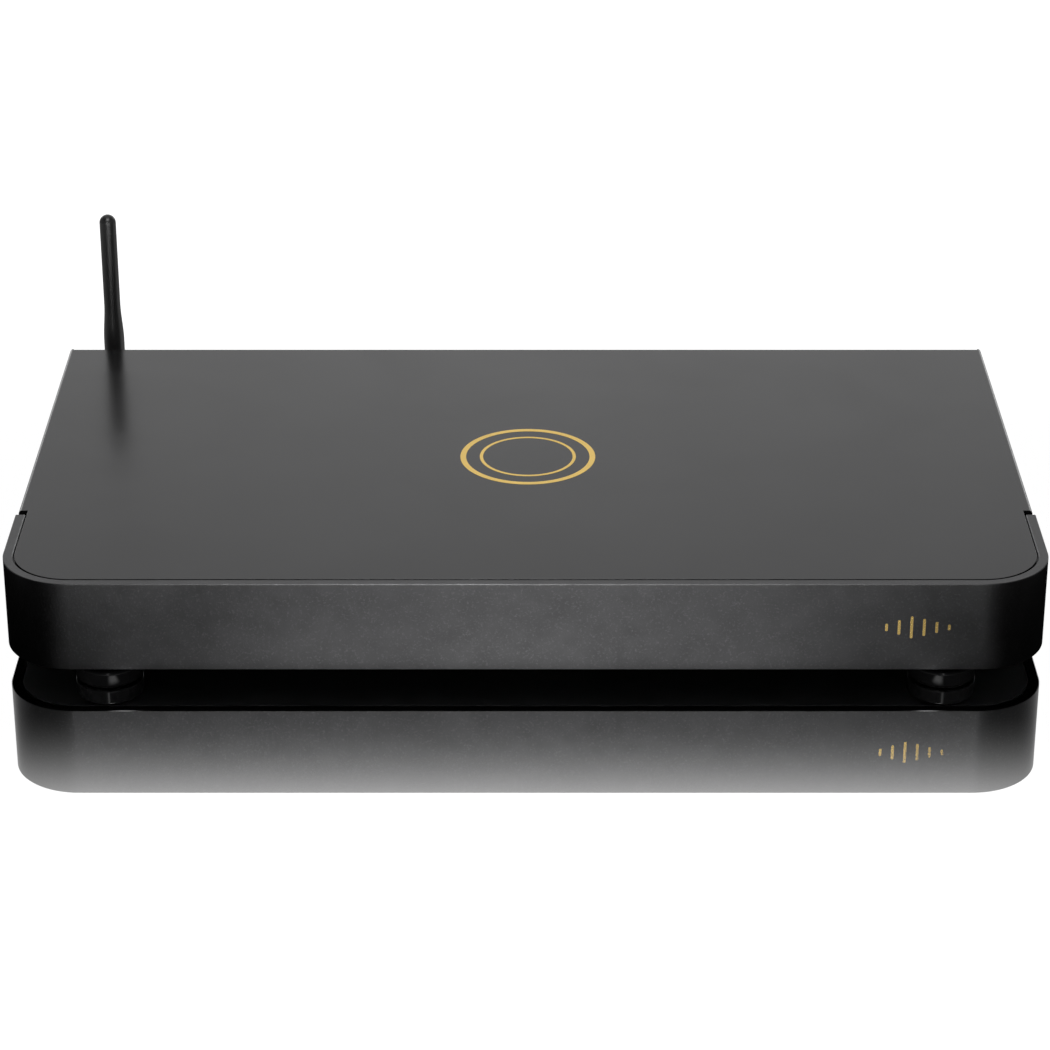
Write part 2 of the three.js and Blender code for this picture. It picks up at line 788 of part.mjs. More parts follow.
function fuseDrawer() {
  const body = block(
    [-drawerWidth / 2, drawerBack, -drawerHeight / 2],
    [drawerWidth / 2, drawerFaceBack, drawerHeight / 2],
  );
  const face = block(
    [-drawerWidth / 2 - drawerLip, drawerFaceBack, -drawerHeight / 2 - drawerLip],
    [drawerWidth / 2 + drawerLip, drawerFaceBack + drawerFace, drawerHeight / 2 + drawerLip],
  );
  const trough = block(
    [-fuseLength / 2 - fit, fuseY - fusePocket / 2, drawerFuseFloor - drawerHeight / 2],
    [fuseLength / 2 + fit, fuseY + fusePocket / 2, drawerHeight / 2 + overrun],
  );
  const grip = block(
    [-drawerGripWidth / 2, drawerFaceBack + drawerFace - drawerGripDepth, drawerHeight / 2 - drawerLip],
    [drawerGripWidth / 2, drawerFaceBack + drawerFace + overrun, drawerHeight / 2 + drawerLip + overrun],
  );
  return cut(joined(body, face), trough, grip);
}

function fuse() {
  const capStart = fuseLength / 2 - fuseCapLength;
  const tube = fuseRadius - fuseCapStep;
  return turned([
    [0, -fuseLength / 2],
    [fuseRadius, -fuseLength / 2],
    [fuseRadius, -capStart],
    [tube, -capStart],
    [tube, capStart],
    [fuseRadius, capStart],
    [fuseRadius, fuseLength / 2],
    [0, fuseLength / 2],
  ], boltSides).applyMatrix4(shaftX);
}

// Mains switch, drawn like the inlet; the rocker turns about x at its pivot
const rockerPivotY = switchFlangeThickness - rockerPivotDepth;

function switchHousing() {
  const face = switchFlangeThickness;
  const flange = roundedRectangle(switchFlangeWidth, switchFlangeHeight, switchFlangeThickness);
  const body = block(
    [-switchBodyWidth / 2, -switchBodyDepth, -switchBodyHeight / 2],
    [switchBodyWidth / 2, face, switchBodyHeight / 2],
  );
  const well = block(
    [-windowWidth / 2, rockerPivotY - rockerRadius - fit, -windowHeight / 2],
    [windowWidth / 2, face + overrun, windowHeight / 2],
  );
  const bore = rod(rockerPinRadius + pivotFit, -switchBodyWidth, switchBodyWidth, boltSides)
    .applyMatrix4(shaftX)
    .translate(0, rockerPivotY, 0);
  return cut(joined(throughY(flange, fit, face), body), well, bore);
}

function powerRocker() {
  const crownHalf = Math.sqrt(rockerRadius ** 2 - rockerCrown ** 2);
  const crownAngle = Math.atan2(crownHalf, rockerCrown);
  const skirtHalf = Math.sqrt(rockerRadius ** 2 - rockerSkirt ** 2);
  const skirtAngle = Math.atan2(skirtHalf, -rockerSkirt);
  const profile = new THREE.Shape();
  profile.moveTo(rockerCrown, -crownHalf);
  profile.lineTo(rockerDish, 0);
  profile.lineTo(rockerCrown, crownHalf);
  profile.absarc(0, 0, rockerRadius, crownAngle, skirtAngle);
  profile.lineTo(-rockerStem, rockerStemHalf);
  profile.lineTo(-rockerStem, -rockerStemHalf);
  profile.lineTo(-rockerSkirt, -skirtHalf);
  profile.absarc(0, 0, rockerRadius, -skirtAngle, -crownAngle);
  const pinEnd = rockerWidth / 2 + rockerPinLength;
  const pins = rod(rockerPinRadius, -pinEnd, pinEnd, boltSides).applyMatrix4(shaftX);
  return joined(acrossWidth(profile, rockerWidth), pins);
}

// Network socket, drawn from its own base with y = 0 on the panel's outer face
function lanSocket() {
  const body = block([-lanWidth / 2, lanNose - lanDepth, 0], [lanWidth / 2, lanNose, lanHeight]);
  const mouthTop = (lanHeight + lanMouthHeight + lanLatchHeight + lanKeyHeight) / 2;
  const mouthBottom = mouthTop - lanMouthHeight;
  const latchBottom = mouthBottom - lanLatchHeight;
  const keyBottom = latchBottom - lanKeyHeight;
  const mouth = outlineOf([
    [-lanMouthWidth / 2, mouthTop],
    [-lanMouthWidth / 2, mouthBottom],
    [-lanLatchWidth / 2, mouthBottom],
    [-lanLatchWidth / 2, latchBottom],
    [-lanKeyWidth / 2, latchBottom],
    [-lanKeyWidth / 2, keyBottom],
    [lanKeyWidth / 2, keyBottom],
    [lanKeyWidth / 2, latchBottom],
    [lanLatchWidth / 2, latchBottom],
    [lanLatchWidth / 2, mouthBottom],
    [lanMouthWidth / 2, mouthBottom],
    [lanMouthWidth / 2, mouthTop],
  ]);
  return cut(body, throughY(mouth, lanNose - lanMouthDepth, lanNose + overrun));
}

// Stacked USB socket
const usbPortFloors = [usbWeb, 2 * usbWeb + usbPortHeight];

function usbSocket() {
  const body = block([-usbWidth / 2, usbNose - usbDepth, 0], [usbWidth / 2, usbNose, usbHeight]);
  const ports = usbPortFloors.map((floor) => block(
    [-usbPortWidth / 2, usbNose - usbPortDepth, floor],
    [usbPortWidth / 2, usbNose + overrun, floor + usbPortHeight],
  ));
  return cut(body, ...ports);
}

function usbTongue(floor) {
  const top = floor + usbPortHeight - usbTongueDrop;
  return block(
    [-usbTongueWidth / 2, usbNose - usbPortDepth + fit, top - usbTongueThickness],
    [usbTongueWidth / 2, usbNose - usbTongueSetBack, top],
  );
}

// Optical output and the shutter that swings inwards from the top of its mouth
const opticalFloor = (opticalHeight - opticalPortHeight) / 2;
const shutterPivotY = opticalNose - shutterSetBack;
const shutterPivotZ = opticalFloor + opticalPortHeight - shutterKnuckle - fit;

function chamferedPort(width, top, bottom, chamfer) {
  const x = width / 2;
  return outlineOf([
    [-x, top],
    [-x, bottom + chamfer],
    [chamfer - x, bottom],
    [x - chamfer, bottom],
    [x, bottom + chamfer],
    [x, top],
  ]);
}

function opticalOutput() {
  const body = block(
    [-opticalWidth / 2, opticalNose - opticalDepth, 0],
    [opticalWidth / 2, opticalNose, opticalHeight],
  );
  const ceiling = opticalFloor + opticalPortHeight;
  const port = chamferedPort(opticalPortWidth, ceiling, opticalFloor, opticalPortChamfer);
  const bore = rod(shutterPinRadius + pivotFit, -opticalWidth, opticalWidth, standoffSides)
    .applyMatrix4(shaftX)
    .translate(0, shutterPivotY, shutterPivotZ);
  return cut(body, throughY(port, opticalNose - opticalPortDepth, opticalNose + overrun), bore);
}

function opticalShutter() {
  const width = opticalPortWidth - 2 * fit;
  const bottom = opticalFloor + fit - shutterPivotZ;
  const flap = chamferedPort(width, 0, bottom, opticalPortChamfer);
  const half = shutterThickness / 2;
  const knuckle = rod(shutterKnuckle, -width / 2, width / 2, standoffSides).applyMatrix4(shaftX);
  const pinEnd = width / 2 + shutterPinLength;
  const pins = rod(shutterPinRadius, -pinEnd, pinEnd, standoffSides).applyMatrix4(shaftX);
  return joined(throughY(flap, -half, half), knuckle, pins);
}

// Phono socket, turned about y, with its insulating core
function phonoShell() {
  const flangeFront = fit + phonoFlangeThickness;
  const mouth = flangeFront + phonoBarrelLength;
  return turned([
    [phonoBoreRadius, -phonoStemLength],
    [phonoStemRadius, -phonoStemLength],
    [phonoStemRadius, fit],
    [phonoFlangeRadius, fit],
    [phonoFlangeRadius, flangeFront],
    [phonoBarrelRadius, flangeFront],
    [phonoBarrelRadius, mouth],
    [phonoBoreRadius, mouth],
    [phonoBoreRadius, -phonoStemLength],
  ], socketSides);
}

function phonoCore() {
  const mouth = fit + phonoFlangeThickness + phonoBarrelLength - phonoCoreSetBack;
  const core = phonoBoreRadius - fit;
  return turned([
    [0, -phonoStemLength],
    [core, -phonoStemLength],
    [core, mouth],
    [phonoContactRadius, mouth],
    [phonoContactRadius, mouth - phonoContactDepth],
    [0, mouth - phonoContactDepth],
  ], socketSides);
}

// Antenna socket and its two nuts, turned about y from the panel's outer face
function antennaSocket() {
  const flangeRear = -panelSheet - fit;
  const flangeFront = flangeRear - socketFlangeThickness;
  return turned([
    [0, flangeFront - socketTailLength],
    [socketTailRadius, flangeFront - socketTailLength],
    [socketTailRadius, flangeFront],
    [socketFlangeRadius, flangeFront],
    [socketFlangeRadius, flangeRear],
    [threadRadius, flangeRear],
    [threadRadius, threadReach],
    [0, threadReach],
  ], socketSides);
}

function antennaSocketNut() {
  const nut = throughY(hexagon(socketNutAcross), fit, fit + socketNutThickness);
  return cut(nut, rod(threadRadius + fit, -overrun, couplingStart + overrun, socketSides));
}

function couplingNut() {
  const points = Array.from({ length: 2 * knurlCount }, (_, i) => {
    const radius = couplingRadius - (i % 2) * knurlDepth;
    const angle = i * Math.PI / knurlCount;
    return [radius * Math.cos(angle), radius * Math.sin(angle)];
  });
  const end = couplingStart + couplingLength;
  const sleeve = throughY(outlineOf(points), couplingStart, end);
  const threadBore = rod(threadRadius + fit, couplingStart - overrun, couplingWallY, socketSides);
  const neckBore = rod(ferruleRadius + fit, couplingStart, end + overrun, socketSides);
  return cut(sleeve, threadBore, neckBore);
}

// Knuckle: a round elbow that swivels in the coupling nut and ends in a flat hinge tongue
function antennaKnuckle() {
  const neckEnd = couplingStart + couplingLength + fit;
  const stem = turned([
    [0, collarStart],
    [collarRadius, collarStart],
    [collarRadius, collarStart + collarThickness],
    [ferruleRadius, collarStart + collarThickness],
    [ferruleRadius, neckEnd],
    [whipBaseRadius - whipEdge, neckEnd],
    [whipBaseRadius, neckEnd + whipEdge],
    [whipBaseRadius, shoulderEnd - whipEdge],
    [whipBaseRadius - whipEdge, shoulderEnd],
    [0, shoulderEnd],
  ], antennaSides);
  const tongue = new THREE.Shape();
  tongue.moveTo(shoulderEnd - whipEdge, -tongueEndRadius);
  tongue.lineTo(pivotReach, -tongueEndRadius);
  tongue.absarc(pivotReach, 0, tongueEndRadius, -Math.PI / 2, Math.PI / 2);
  tongue.lineTo(shoulderEnd - whipEdge, tongueEndRadius);
  const bore = rod(hingePinRadius + pivotFit, -tongueThickness, tongueThickness, boltSides)
    .applyMatrix4(shaftX)
    .translate(0, pivotReach, 0);
  return cut(joined(stem, acrossWidth(tongue, tongueThickness, cornerSteps)), bore);
}

// Whip: drawn upright from its pivot, with two ears either side of the tongue
const flareShares = [0, 0.12, 0.3, 0.5, 0.7, 0.88, 1];
const tipShares = [0, 0.25, 0.5, 0.75, 0.92];

function antennaWhip() {
  const flare = flareShares.map((share) => {
    const ease = (1 - Math.cos(share * Math.PI)) / 2;
    return [whipBaseRadius + (whipRadius - whipBaseRadius) * ease, whipBaseLength + share * whipFlareLength];
  });
  const tip = tipShares.map((share) => {
    const angle = share * Math.PI / 2;
    return [whipRadius * Math.cos(angle), whipLength - whipRadius * (1 - Math.sin(angle))];
  });
  const rodBody = turned([
    [0, -whipBaseRadius],
    [whipBaseRadius, -whipBaseRadius],
    ...flare,
    ...tip,
    [0, whipLength],
  ], antennaSides).applyMatrix4(standing);
  const side = new THREE.Shape();
  side.moveTo(whipBaseRadius + overrun, 0);
  side.lineTo(whipBaseRadius + overrun, whipLength + overrun);
  side.lineTo(-whipBaseRadius - overrun, whipLength + overrun);
  side.lineTo(-whipBaseRadius - overrun, 0);
  side.lineTo(-whipBaseRadius, 0);
  side.absarc(0, 0, whipBaseRadius, Math.PI, 2 * Math.PI);
  const rounded = shared(rodBody, acrossWidth(side, 2 * (whipBaseRadius + overrun), cornerSteps));
  const slotHalf = tongueThickness / 2 + fit;
  const slot = block(
    [-slotHalf, -whipBaseRadius - overrun, -whipBaseRadius - overrun],
    [slotHalf, whipBaseRadius + overrun, tongueEndRadius + fit],
  );
  const bore = rod(hingePinRadius + pivotFit, -whipBaseRadius - overrun, whipBaseRadius + overrun, boltSides)
    .applyMatrix4(shaftX);
  return cut(rounded, slot, bore);
}

function hingePin() {
  const half = whipBaseRadius - fit;
  return rod(hingePinRadius, -half, half, boltSides).applyMatrix4(shaftX);
}

// Boards, module, heatsinks
function boardPlate(board) {
  return block([board.left, board.front, boardBottomZ], [board.right, board.rear, boardTopZ]);
}

function finnedSink(width, depth, height) {
  const pitch = (width - sinkFinThickness) / (sinkFinCount - 1);
  const points = [[width / 2, 0], [-width / 2, 0]];
  for (let i = 0; i < sinkFinCount; i += 1) {
    const x = i * pitch - width / 2;
    if (i > 0) points.push([x, sinkBase]);
    points.push([x, height], [x + sinkFinThickness, height]);
    if (i < sinkFinCount - 1) points.push([x + sinkFinThickness, sinkBase]);
  }
  return throughY(outlineOf(points), -depth / 2, depth / 2);
}

function capacitor() {
  const groove = capacitorGrooveRise;
  return turned([
    [0, 0],
    [capacitorRadius, 0],
    [capacitorRadius, groove],
    [capacitorRadius - capacitorGroove, groove + capacitorGroove],
    [capacitorRadius, groove + 2 * capacitorGroove],
    [capacitorRadius, capacitorHeight - capacitorEdge],
    [capacitorRadius - capacitorEdge, capacitorHeight],
    [0, capacitorHeight],
  ], socketSides).applyMatrix4(standing);
}

// Transformer: a ring with rounded shoulders, held down by a dished washer and a bolt
function transformerRing() {
  const outer = transformerRadius - transformerRounding;
  const inner = transformerBore + transformerRounding;
  const high = transformerHeight - transformerRounding;
  const arc = (middleR, middleZ, start) => roundingShares.map((share) => {
    const angle = start + share * Math.PI / 2;
    return [
      middleR + transformerRounding * Math.cos(angle),
      middleZ + transformerRounding * Math.sin(angle),
    ];
  });
  const profile = [
    ...arc(outer, transformerRounding, -Math.PI / 2),
    ...arc(outer, high, 0),
    ...arc(inner, high, Math.PI / 2),
    ...arc(inner, transformerRounding, Math.PI),
  ];
  return turned([...profile, profile[0]], footSides).applyMatrix4(standing);
}

function clampWasher() {
  const bore = boltRadius + fit;
  return turned([
    [bore, -washerDish],
    [bore + washerThickness, -washerDish],
    [transformerBore, 0],
    [washerRadius, 0],
    [washerRadius, washerThickness],
    [bore, washerThickness],
    [bore, -washerDish],
  ], socketSides).applyMatrix4(standing);
}

function transformerBolt(headBottom) {
  const shank = uprightRod(boltRadius, undersideZ, headBottom + boltHeadHeight / 2, boltSides);
  const head = raised(hexagon(boltHeadAcross), boltHeadHeight).translate(0, 0, headBottom);
  return joined(shank, head);
}

// A lead: a round section run along a curve that leaves and arrives square to its seats
function lead(from, leaving, to, arriving, radius) {
  const start = new THREE.Vector3(...from);
  const end = new THREE.Vector3(...to);
  const curve = new THREE.CubicBezierCurve3(
    start,
    start.clone().addScaledVector(leaving, leadBend),
    end.clone().addScaledVector(arriving, leadBend),
    end,
  );
  const section = outlineOf(Array.from({ length: leadSides }, (_, i) => [
    radius * Math.cos(i * 2 * Math.PI / leadSides),
    radius * Math.sin(i * 2 * Math.PI / leadSides),
  ]));
  return new THREE.ExtrudeGeometry(section, { steps: leadSteps, bevelEnabled: false, extrudePath: curve });
}

// Assembly: enclosure
const streamer = new THREE.Group();
streamer.name = 'network_streamer';
add(streamer, 'front_bezel', frontBezel(), blastedBlack);
add(streamer, 'top_cover', topCover(), coverBlack);
add(streamer, 'chassis_tray', chassisTray(), steelBlack);
add(streamer, 'rear_panel', rearPanel(), steelBlack);
for (const { name, x, y } of feet) {
  add(streamer, `foot_${name}`, foot(), glossBlack, [x, y, 0]);
  add(streamer, `foot_pad_${name}`, footPad(), rubber, [x, y, 0]);
  add(streamer, `foot_screw_${name}`, footScrew(), zinc, [x, y, 0]);
}

// Assembly: mains inlet and switch
const inlet = new THREE.Group();
inlet.position.set(inletX, panelOuterY, socketRowZ);
add(inlet, 'mains_inlet', mainsInlet(), plasticBlack);
for (const { name, x, z } of inletPins) add(inlet, `mains_pin_${name}`, inletPin(), nickel, [x, 0, z]);
add(inlet, 'fuse_drawer', fuseDrawer(), plasticBlack, [0, 0, drawerMiddle]);
add(inlet, 'fuse', fuse(), glass, [0, fuseY, drawerMiddle + fuseZ]);
streamer.add(inlet);

const mainsSwitch = new THREE.Group();
mainsSwitch.position.set(switchX, panelOuterY, socketRowZ);
add(mainsSwitch, 'switch_housing', switchHousing(), plasticBlack);
const rockerPivot = new THREE.Group();
rockerPivot.position.set(0, rockerPivotY, 0);
rockerPivot.rotation.x = THREE.MathUtils.degToRad(rockerTilt);
add(rockerPivot, 'power_rocker', powerRocker(), glossBlack);
mainsSwitch.add(rockerPivot);
streamer.add(mainsSwitch);

// Assembly: signal sockets
const lan = [lanX, panelOuterY, onBoardZ];
const usb = [usbX, panelOuterY, onBoardZ];
const optical = [opticalX, panelOuterY, onBoardZ];
add(streamer, 'lan_socket', lanSocket(), nickel, lan);
add(streamer, 'usb_socket', usbSocket(), nickel, usb);
add(streamer, 'usb_tongue_lower', usbTongue(usbPortFloors[0]), whitePlastic, usb);
add(streamer, 'usb_tongue_upper', usbTongue(usbPortFloors[1]), whitePlastic, usb);
add(streamer, 'optical_output', opticalOutput(), plasticBlack, optical);
const shutterPlace = [opticalX, panelOuterY + shutterPivotY, onBoardZ + shutterPivotZ];
add(streamer, 'optical_shutter', opticalShutter(), plasticBlack, shutterPlace);
const phonos = [
  { name: 'phono_right', x: phonoRightX, core: redPlastic },
  { name: 'phono_left', x: phonoLeftX, core: whitePlastic },
  { name: 'coaxial_output', x: coaxX, core: orangePlastic },
];
for (const { name, x, core } of phonos) {
  add(streamer, `${name}_shell`, phonoShell(), gold, [x, panelOuterY, socketRowZ]);
  add(streamer, `${name}_core`, phonoCore(), core, [x, panelOuterY, socketRowZ]);
}

// Assembly: antenna
const antenna = new THREE.Group();
antenna.position.set(antennaX, panelOuterY, antennaHeight);
add(antenna, 'antenna_socket', antennaSocket(), gold);
add(antenna, 'antenna_socket_nut', antennaSocketNut(), gold);
add(antenna, 'antenna_coupling_nut', couplingNut(), gold);
add(antenna, 'antenna_knuckle', antennaKnuckle(), plasticBlack);
add(antenna, 'antenna_whip', antennaWhip(), plasticBlack, [0, pivotReach, 0]);
add(antenna, 'antenna_hinge_pin', hingePin(), zinc, [0, pivotReach, 0]);
streamer.add(antenna);

// Assembly: boards and what stands on them
add(streamer, 'main_board', boardPlate(mainBoard), boardGreen);
add(streamer, 'converter_board', boardPlate(converterBoard), boardGreen);
add(streamer, 'supply_board', boardPlate(supplyBoard), boardGreen);
const moduleLow = [-moduleWidth / 2, -moduleDepth / 2, 0];
const moduleHigh = [moduleWidth / 2, moduleDepth / 2, moduleThickness];
add(streamer, 'compute_module', block(moduleLow, moduleHigh), boardGreen, [moduleX, moduleY, onBoardZ]);
const computeSink = finnedSink(sinkWidth, sinkDepth, sinkHeight);
const sinkZ = onBoardZ + moduleThickness + fit;
add(streamer, 'compute_heatsink', computeSink, sinkBlack, [moduleX, moduleY, sinkZ]);
const wirelessLow = [-wirelessWidth / 2, -wirelessDepth / 2, 0];
const wirelessHigh = [wirelessWidth / 2, wirelessDepth / 2, wirelessHeight];
add(streamer, 'wireless_module', block(wirelessLow, wirelessHigh), nickel, [wirelessX, wirelessY, onBoardZ]);

const supplyX = (supplyBoard.left + supplyBoard.right) / 2;
const capacitorY = supplyBoard.front + leadInset + capacitorRadius;
for (let i = 0; i < capacitorCount; i += 1) {
  const x = supplyX + (i - (capacitorCount - 1) / 2) * capacitorPitch;
  add(streamer, `reservoir_capacitor_${i + 1}`, capacitor(), sleeveBlue, [x, capacitorY, onBoardZ]);
}
const regulatorY = supplyBoard.rear - leadInset - regulatorSinkDepth / 2;
const regulatorSink = finnedSink(regulatorSinkWidth, regulatorSinkDepth, regulatorSinkHeight);
add(streamer, 'regulator_heatsink', regulatorSink, sinkBlack, [supplyX, regulatorY, onBoardZ]);

// Assembly: transformer
const transformerZ = trayTopZ + fit;
const washerZ = transformerZ + transformerHeight + fit;
const boltHeadZ = washerZ + washerThickness + fit;
add(streamer, 'transformer', transformerRing(), windingTape, [transformerX, transformerY, transformerZ]);
add(streamer, 'transformer_washer', clampWasher(), zinc, [transformerX, transformerY, washerZ]);
add(streamer, 'transformer_bolt', transformerBolt(boltHeadZ), zinc, [transformerX, transformerY, 0]);

// Assembly: leads
const forward = yAxis.clone().negate();
const left = xAxis.clone().negate();
const slant = new THREE.Vector3(-1, 1, 0).normalize();
const switchBackY = panelOuterY - switchBodyDepth - fit;
const tabEndY = panelOuterY - inletBodyDepth - pinTabLength - fit;
const pinZ = socketRowZ + recessMiddle - pinRise;
const ringMiddleZ = transformerZ + transformerHeight / 2;
const ringReach = transformerRadius + fit;
add(streamer, 'inlet_lead', lead(
  [inletX - pinSpacing / 2, tabEndY, pinZ],
  forward,
  [switchX + leadSpread, switchBackY, pinZ],
  forward,
  mainsLeadRadius,
), cableGrey);
add(streamer, 'primary_lead', lead(
  [switchX - leadSpread, switchBackY, pinZ],
  forward,
  [transformerX + slant.x * ringReach, transformerY + slant.y * ringReach, ringMiddleZ],
  slant,
  mainsLeadRadius,
), cableGrey);
add(streamer, 'secondary_lead', lead(
  [transformerX - ringReach, transformerY, ringMiddleZ],
  left,
  [supplyBoard.right - leadInset, supplyBoard.front + supplyDepth / 2, onBoardZ],
  zAxis,
  supplyLeadRadius,
), cableGrey);
add(streamer, 'supply_lead', lead(
  [supplyBoard.left + leadInset, supplyBoard.front + supplyDepth / 2, onBoardZ],
  zAxis,
  [mainBoard.right - leadInset, supplyLeadY, onBoardZ],
  zAxis,
  supplyLeadRadius,
), cableGrey);
const tailEndY = panelOuterY - panelSheet - socketFlangeThickness - socketTailLength - 2 * fit;
add(streamer, 'antenna_lead', lead(
  [antennaX, tailEndY, antennaHeight],
  forward,
  [wirelessX, wirelessY, onBoardZ + wirelessHeight + fit],
  zAxis,
  antennaLeadRadius,
), plasticBlack);

// Origin: middle of the whole footprint, from the front plane to the antenna's rear, on the table
const overallDepth = caseDepth + antennaBehind + whipBaseRadius;
streamer.position.y = -overallDepth / 2;

export default streamer;
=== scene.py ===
"""A low network streamer in black anodised aluminium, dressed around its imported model.

Shapes are written in millimetres, in the model's own frame: the front faces -Y, +X is to the
right of it, +Z is up, and the table is z = 0.
"""
import math

import bmesh
import bpy
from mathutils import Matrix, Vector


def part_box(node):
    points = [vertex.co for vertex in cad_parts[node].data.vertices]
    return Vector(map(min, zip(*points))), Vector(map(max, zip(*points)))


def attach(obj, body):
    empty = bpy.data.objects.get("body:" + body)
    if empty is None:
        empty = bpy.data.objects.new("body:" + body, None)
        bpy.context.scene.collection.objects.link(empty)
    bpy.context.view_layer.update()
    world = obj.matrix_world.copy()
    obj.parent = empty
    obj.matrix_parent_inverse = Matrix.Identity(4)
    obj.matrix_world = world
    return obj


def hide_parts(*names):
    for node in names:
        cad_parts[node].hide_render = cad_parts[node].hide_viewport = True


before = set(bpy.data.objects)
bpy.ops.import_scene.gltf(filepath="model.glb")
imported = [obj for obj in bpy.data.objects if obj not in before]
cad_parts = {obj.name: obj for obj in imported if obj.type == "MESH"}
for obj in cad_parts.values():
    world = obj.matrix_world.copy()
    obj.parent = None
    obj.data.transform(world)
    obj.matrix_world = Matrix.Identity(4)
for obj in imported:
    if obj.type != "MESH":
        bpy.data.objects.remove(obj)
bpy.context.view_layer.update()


# Chassis tray: 1.2 mm sheet steel, punched, folded and powder coated. Everything stands on it.
# The powder flows into a very fine orange peel. Each finish below is built from the same three
# effects: the grain of the surface, the marks that hands leave, and a lighter colour on its edges,
# which is scuffing, and on the front's chamfer also a painted highlight.
MM = 0.001


def feed(tree, socket, value):
    """Gives a socket a value, or joins another socket to it."""
    if isinstance(value, bpy.types.NodeSocket):
        tree.links.new(value, socket)
    else:
        socket.default_value = value


def node(tree, kind, settings=None, **inputs):
    """Adds one node, with its settings and what feeds its sockets."""
    made = tree.nodes.new("ShaderNode" + kind)
    for key, value in (settings or {}).items():
        setattr(made, key, value)
    for key, value in inputs.items():
        feed(tree, made.inputs[key.replace("_", " ")], value)
    return made


def maths(tree, operation, *terms):
    """The result of one sum, product or other step of arithmetic."""
    made = node(tree, "Math", {"operation": operation})
    for socket, value in zip(made.inputs, terms):
        feed(tree, socket, value)
    return made.outputs[0]


def ranged(tree, value, low, high, new_low=0.0, new_high=1.0):
    """Carries a value from one range to another, held at both ends."""
    made = node(tree, "MapRange", Value=value, From_Min=low, From_Max=high, To_Min=new_low, To_Max=new_high)
    return made.outputs["Result"]


def tinted(tree, share, first, second):
    """The colour that lies between two colours, by a share."""
    made = node(tree, "Mix", {"data_type": "RGBA"})
    for index, value in ((0, share), (6, first), (7, second)):
        feed(tree, made.inputs[index], value)
    return made.outputs[2]


def effect(name, inputs, outputs):
    """A node group of plain numbers, with what it is given and what it puts out."""
    group = bpy.data.node_groups.new(name, "ShaderNodeTree")
    for label, value in inputs.items():
        socket = group.interface.new_socket(label, in_out="INPUT", socket_type="NodeSocketFloat")
        socket.default_value = value
    for label in outputs:
        group.interface.new_socket(label, in_out="OUTPUT", socket_type="NodeSocketFloat")
    given = group.nodes.new("NodeGroupInput").outputs
    result = group.nodes.new("NodeGroupOutput").inputs
    return group, given, result


surface_grain, given, result = effect("surface grain", {"Size": 0.6, "Cloud Size": 30.0},
                                      ["Height", "Fleck", "Cloud"])
place = node(surface_grain, "TexCoord").outputs["Object"]
fine = node(surface_grain, "TexNoise", Vector=place, Detail=3.0, Roughness=0.65,
            Scale=maths(surface_grain, "DIVIDE", 1 / MM, given["Size"]))
broad = node(surface_grain, "TexNoise", Vector=place, Detail=3.0,
             Scale=maths(surface_grain, "DIVIDE", 1 / MM, given["Cloud Size"]))
surface_grain.links.new(fine.outputs["Fac"], result["Height"])
surface_grain.links.new(ranged(surface_grain, fine.outputs["Fac"], 0.55, 0.75), result["Fleck"])
surface_grain.links.new(ranged(surface_grain, broad.outputs["Fac"], 0.3, 0.7), result["Cloud"])

SCRATCH_STRETCH = (35.0, 900.0, 900.0)
SCRATCH_SLANT = (0.0, 0.2, 0.7)
hand_marks, given, result = effect("hand marks", {"Size": 90.0}, ["Smear", "Scratch"])
place = node(hand_marks, "TexCoord").outputs["Object"]
smear = node(hand_marks, "TexNoise", Vector=place, Detail=5.0, Distortion=1.5,
             Scale=maths(hand_marks, "DIVIDE", 1 / MM, given["Size"]))
stretched = node(hand_marks, "Mapping", Vector=place, Scale=SCRATCH_STRETCH, Rotation=SCRATCH_SLANT)
scratch = node(hand_marks, "TexNoise", Vector=stretched.outputs["Vector"], Scale=1.0, Detail=2.0)
hand_marks.links.new(ranged(hand_marks, smear.outputs["Fac"], 0.45, 0.75), result["Smear"])
hand_marks.links.new(ranged(hand_marks, scratch.outputs["Fac"], 0.7, 0.78), result["Scratch"])

# Edge colour: a lighter colour where the surface turns at an edge, broken up by noise. It is scuffing, and
# on the front's chamfer also a painted highlight.
edge_scuff_and_glint, given, result = effect("edge scuff and glint", {"Width": 0.4}, ["Rub"])
rounded = node(edge_scuff_and_glint, "Bevel", {"samples": 4}, Radius=maths(edge_scuff_and_glint, "MULTIPLY", given["Width"], MM))
facing = node(edge_scuff_and_glint, "VectorMath", {"operation": "DOT_PRODUCT"})
edge_scuff_and_glint.links.new(rounded.outputs["Normal"], facing.inputs[0])
edge_scuff_and_glint.links.new(node(edge_scuff_and_glint, "NewGeometry").outputs["Normal"], facing.inputs[1])
place = node(edge_scuff_and_glint, "TexCoord").outputs["Object"]
edge_patches = node(edge_scuff_and_glint, "TexNoise", Vector=place, Scale=600.0, Detail=2.0)
turned_away = ranged(edge_scuff_and_glint, facing.outputs["Value"], 0.995, 0.86)
tinted_edge_mask = maths(edge_scuff_and_glint, "MULTIPLY", turned_away, ranged(edge_scuff_and_glint, edge_patches.outputs["Fac"], 0.35, 0.62))
edge_scuff_and_glint.links.new(tinted_edge_mask, result["Rub"])


def use(tree, group, **values):
    """Places an effect in a material, with its own values."""
    made = tree.nodes.new("ShaderNodeGroup")
    made.node_tree = group
    for label, value in values.items():
        made.inputs[label.replace("_", " ")].default_value = value
    return made.outputs


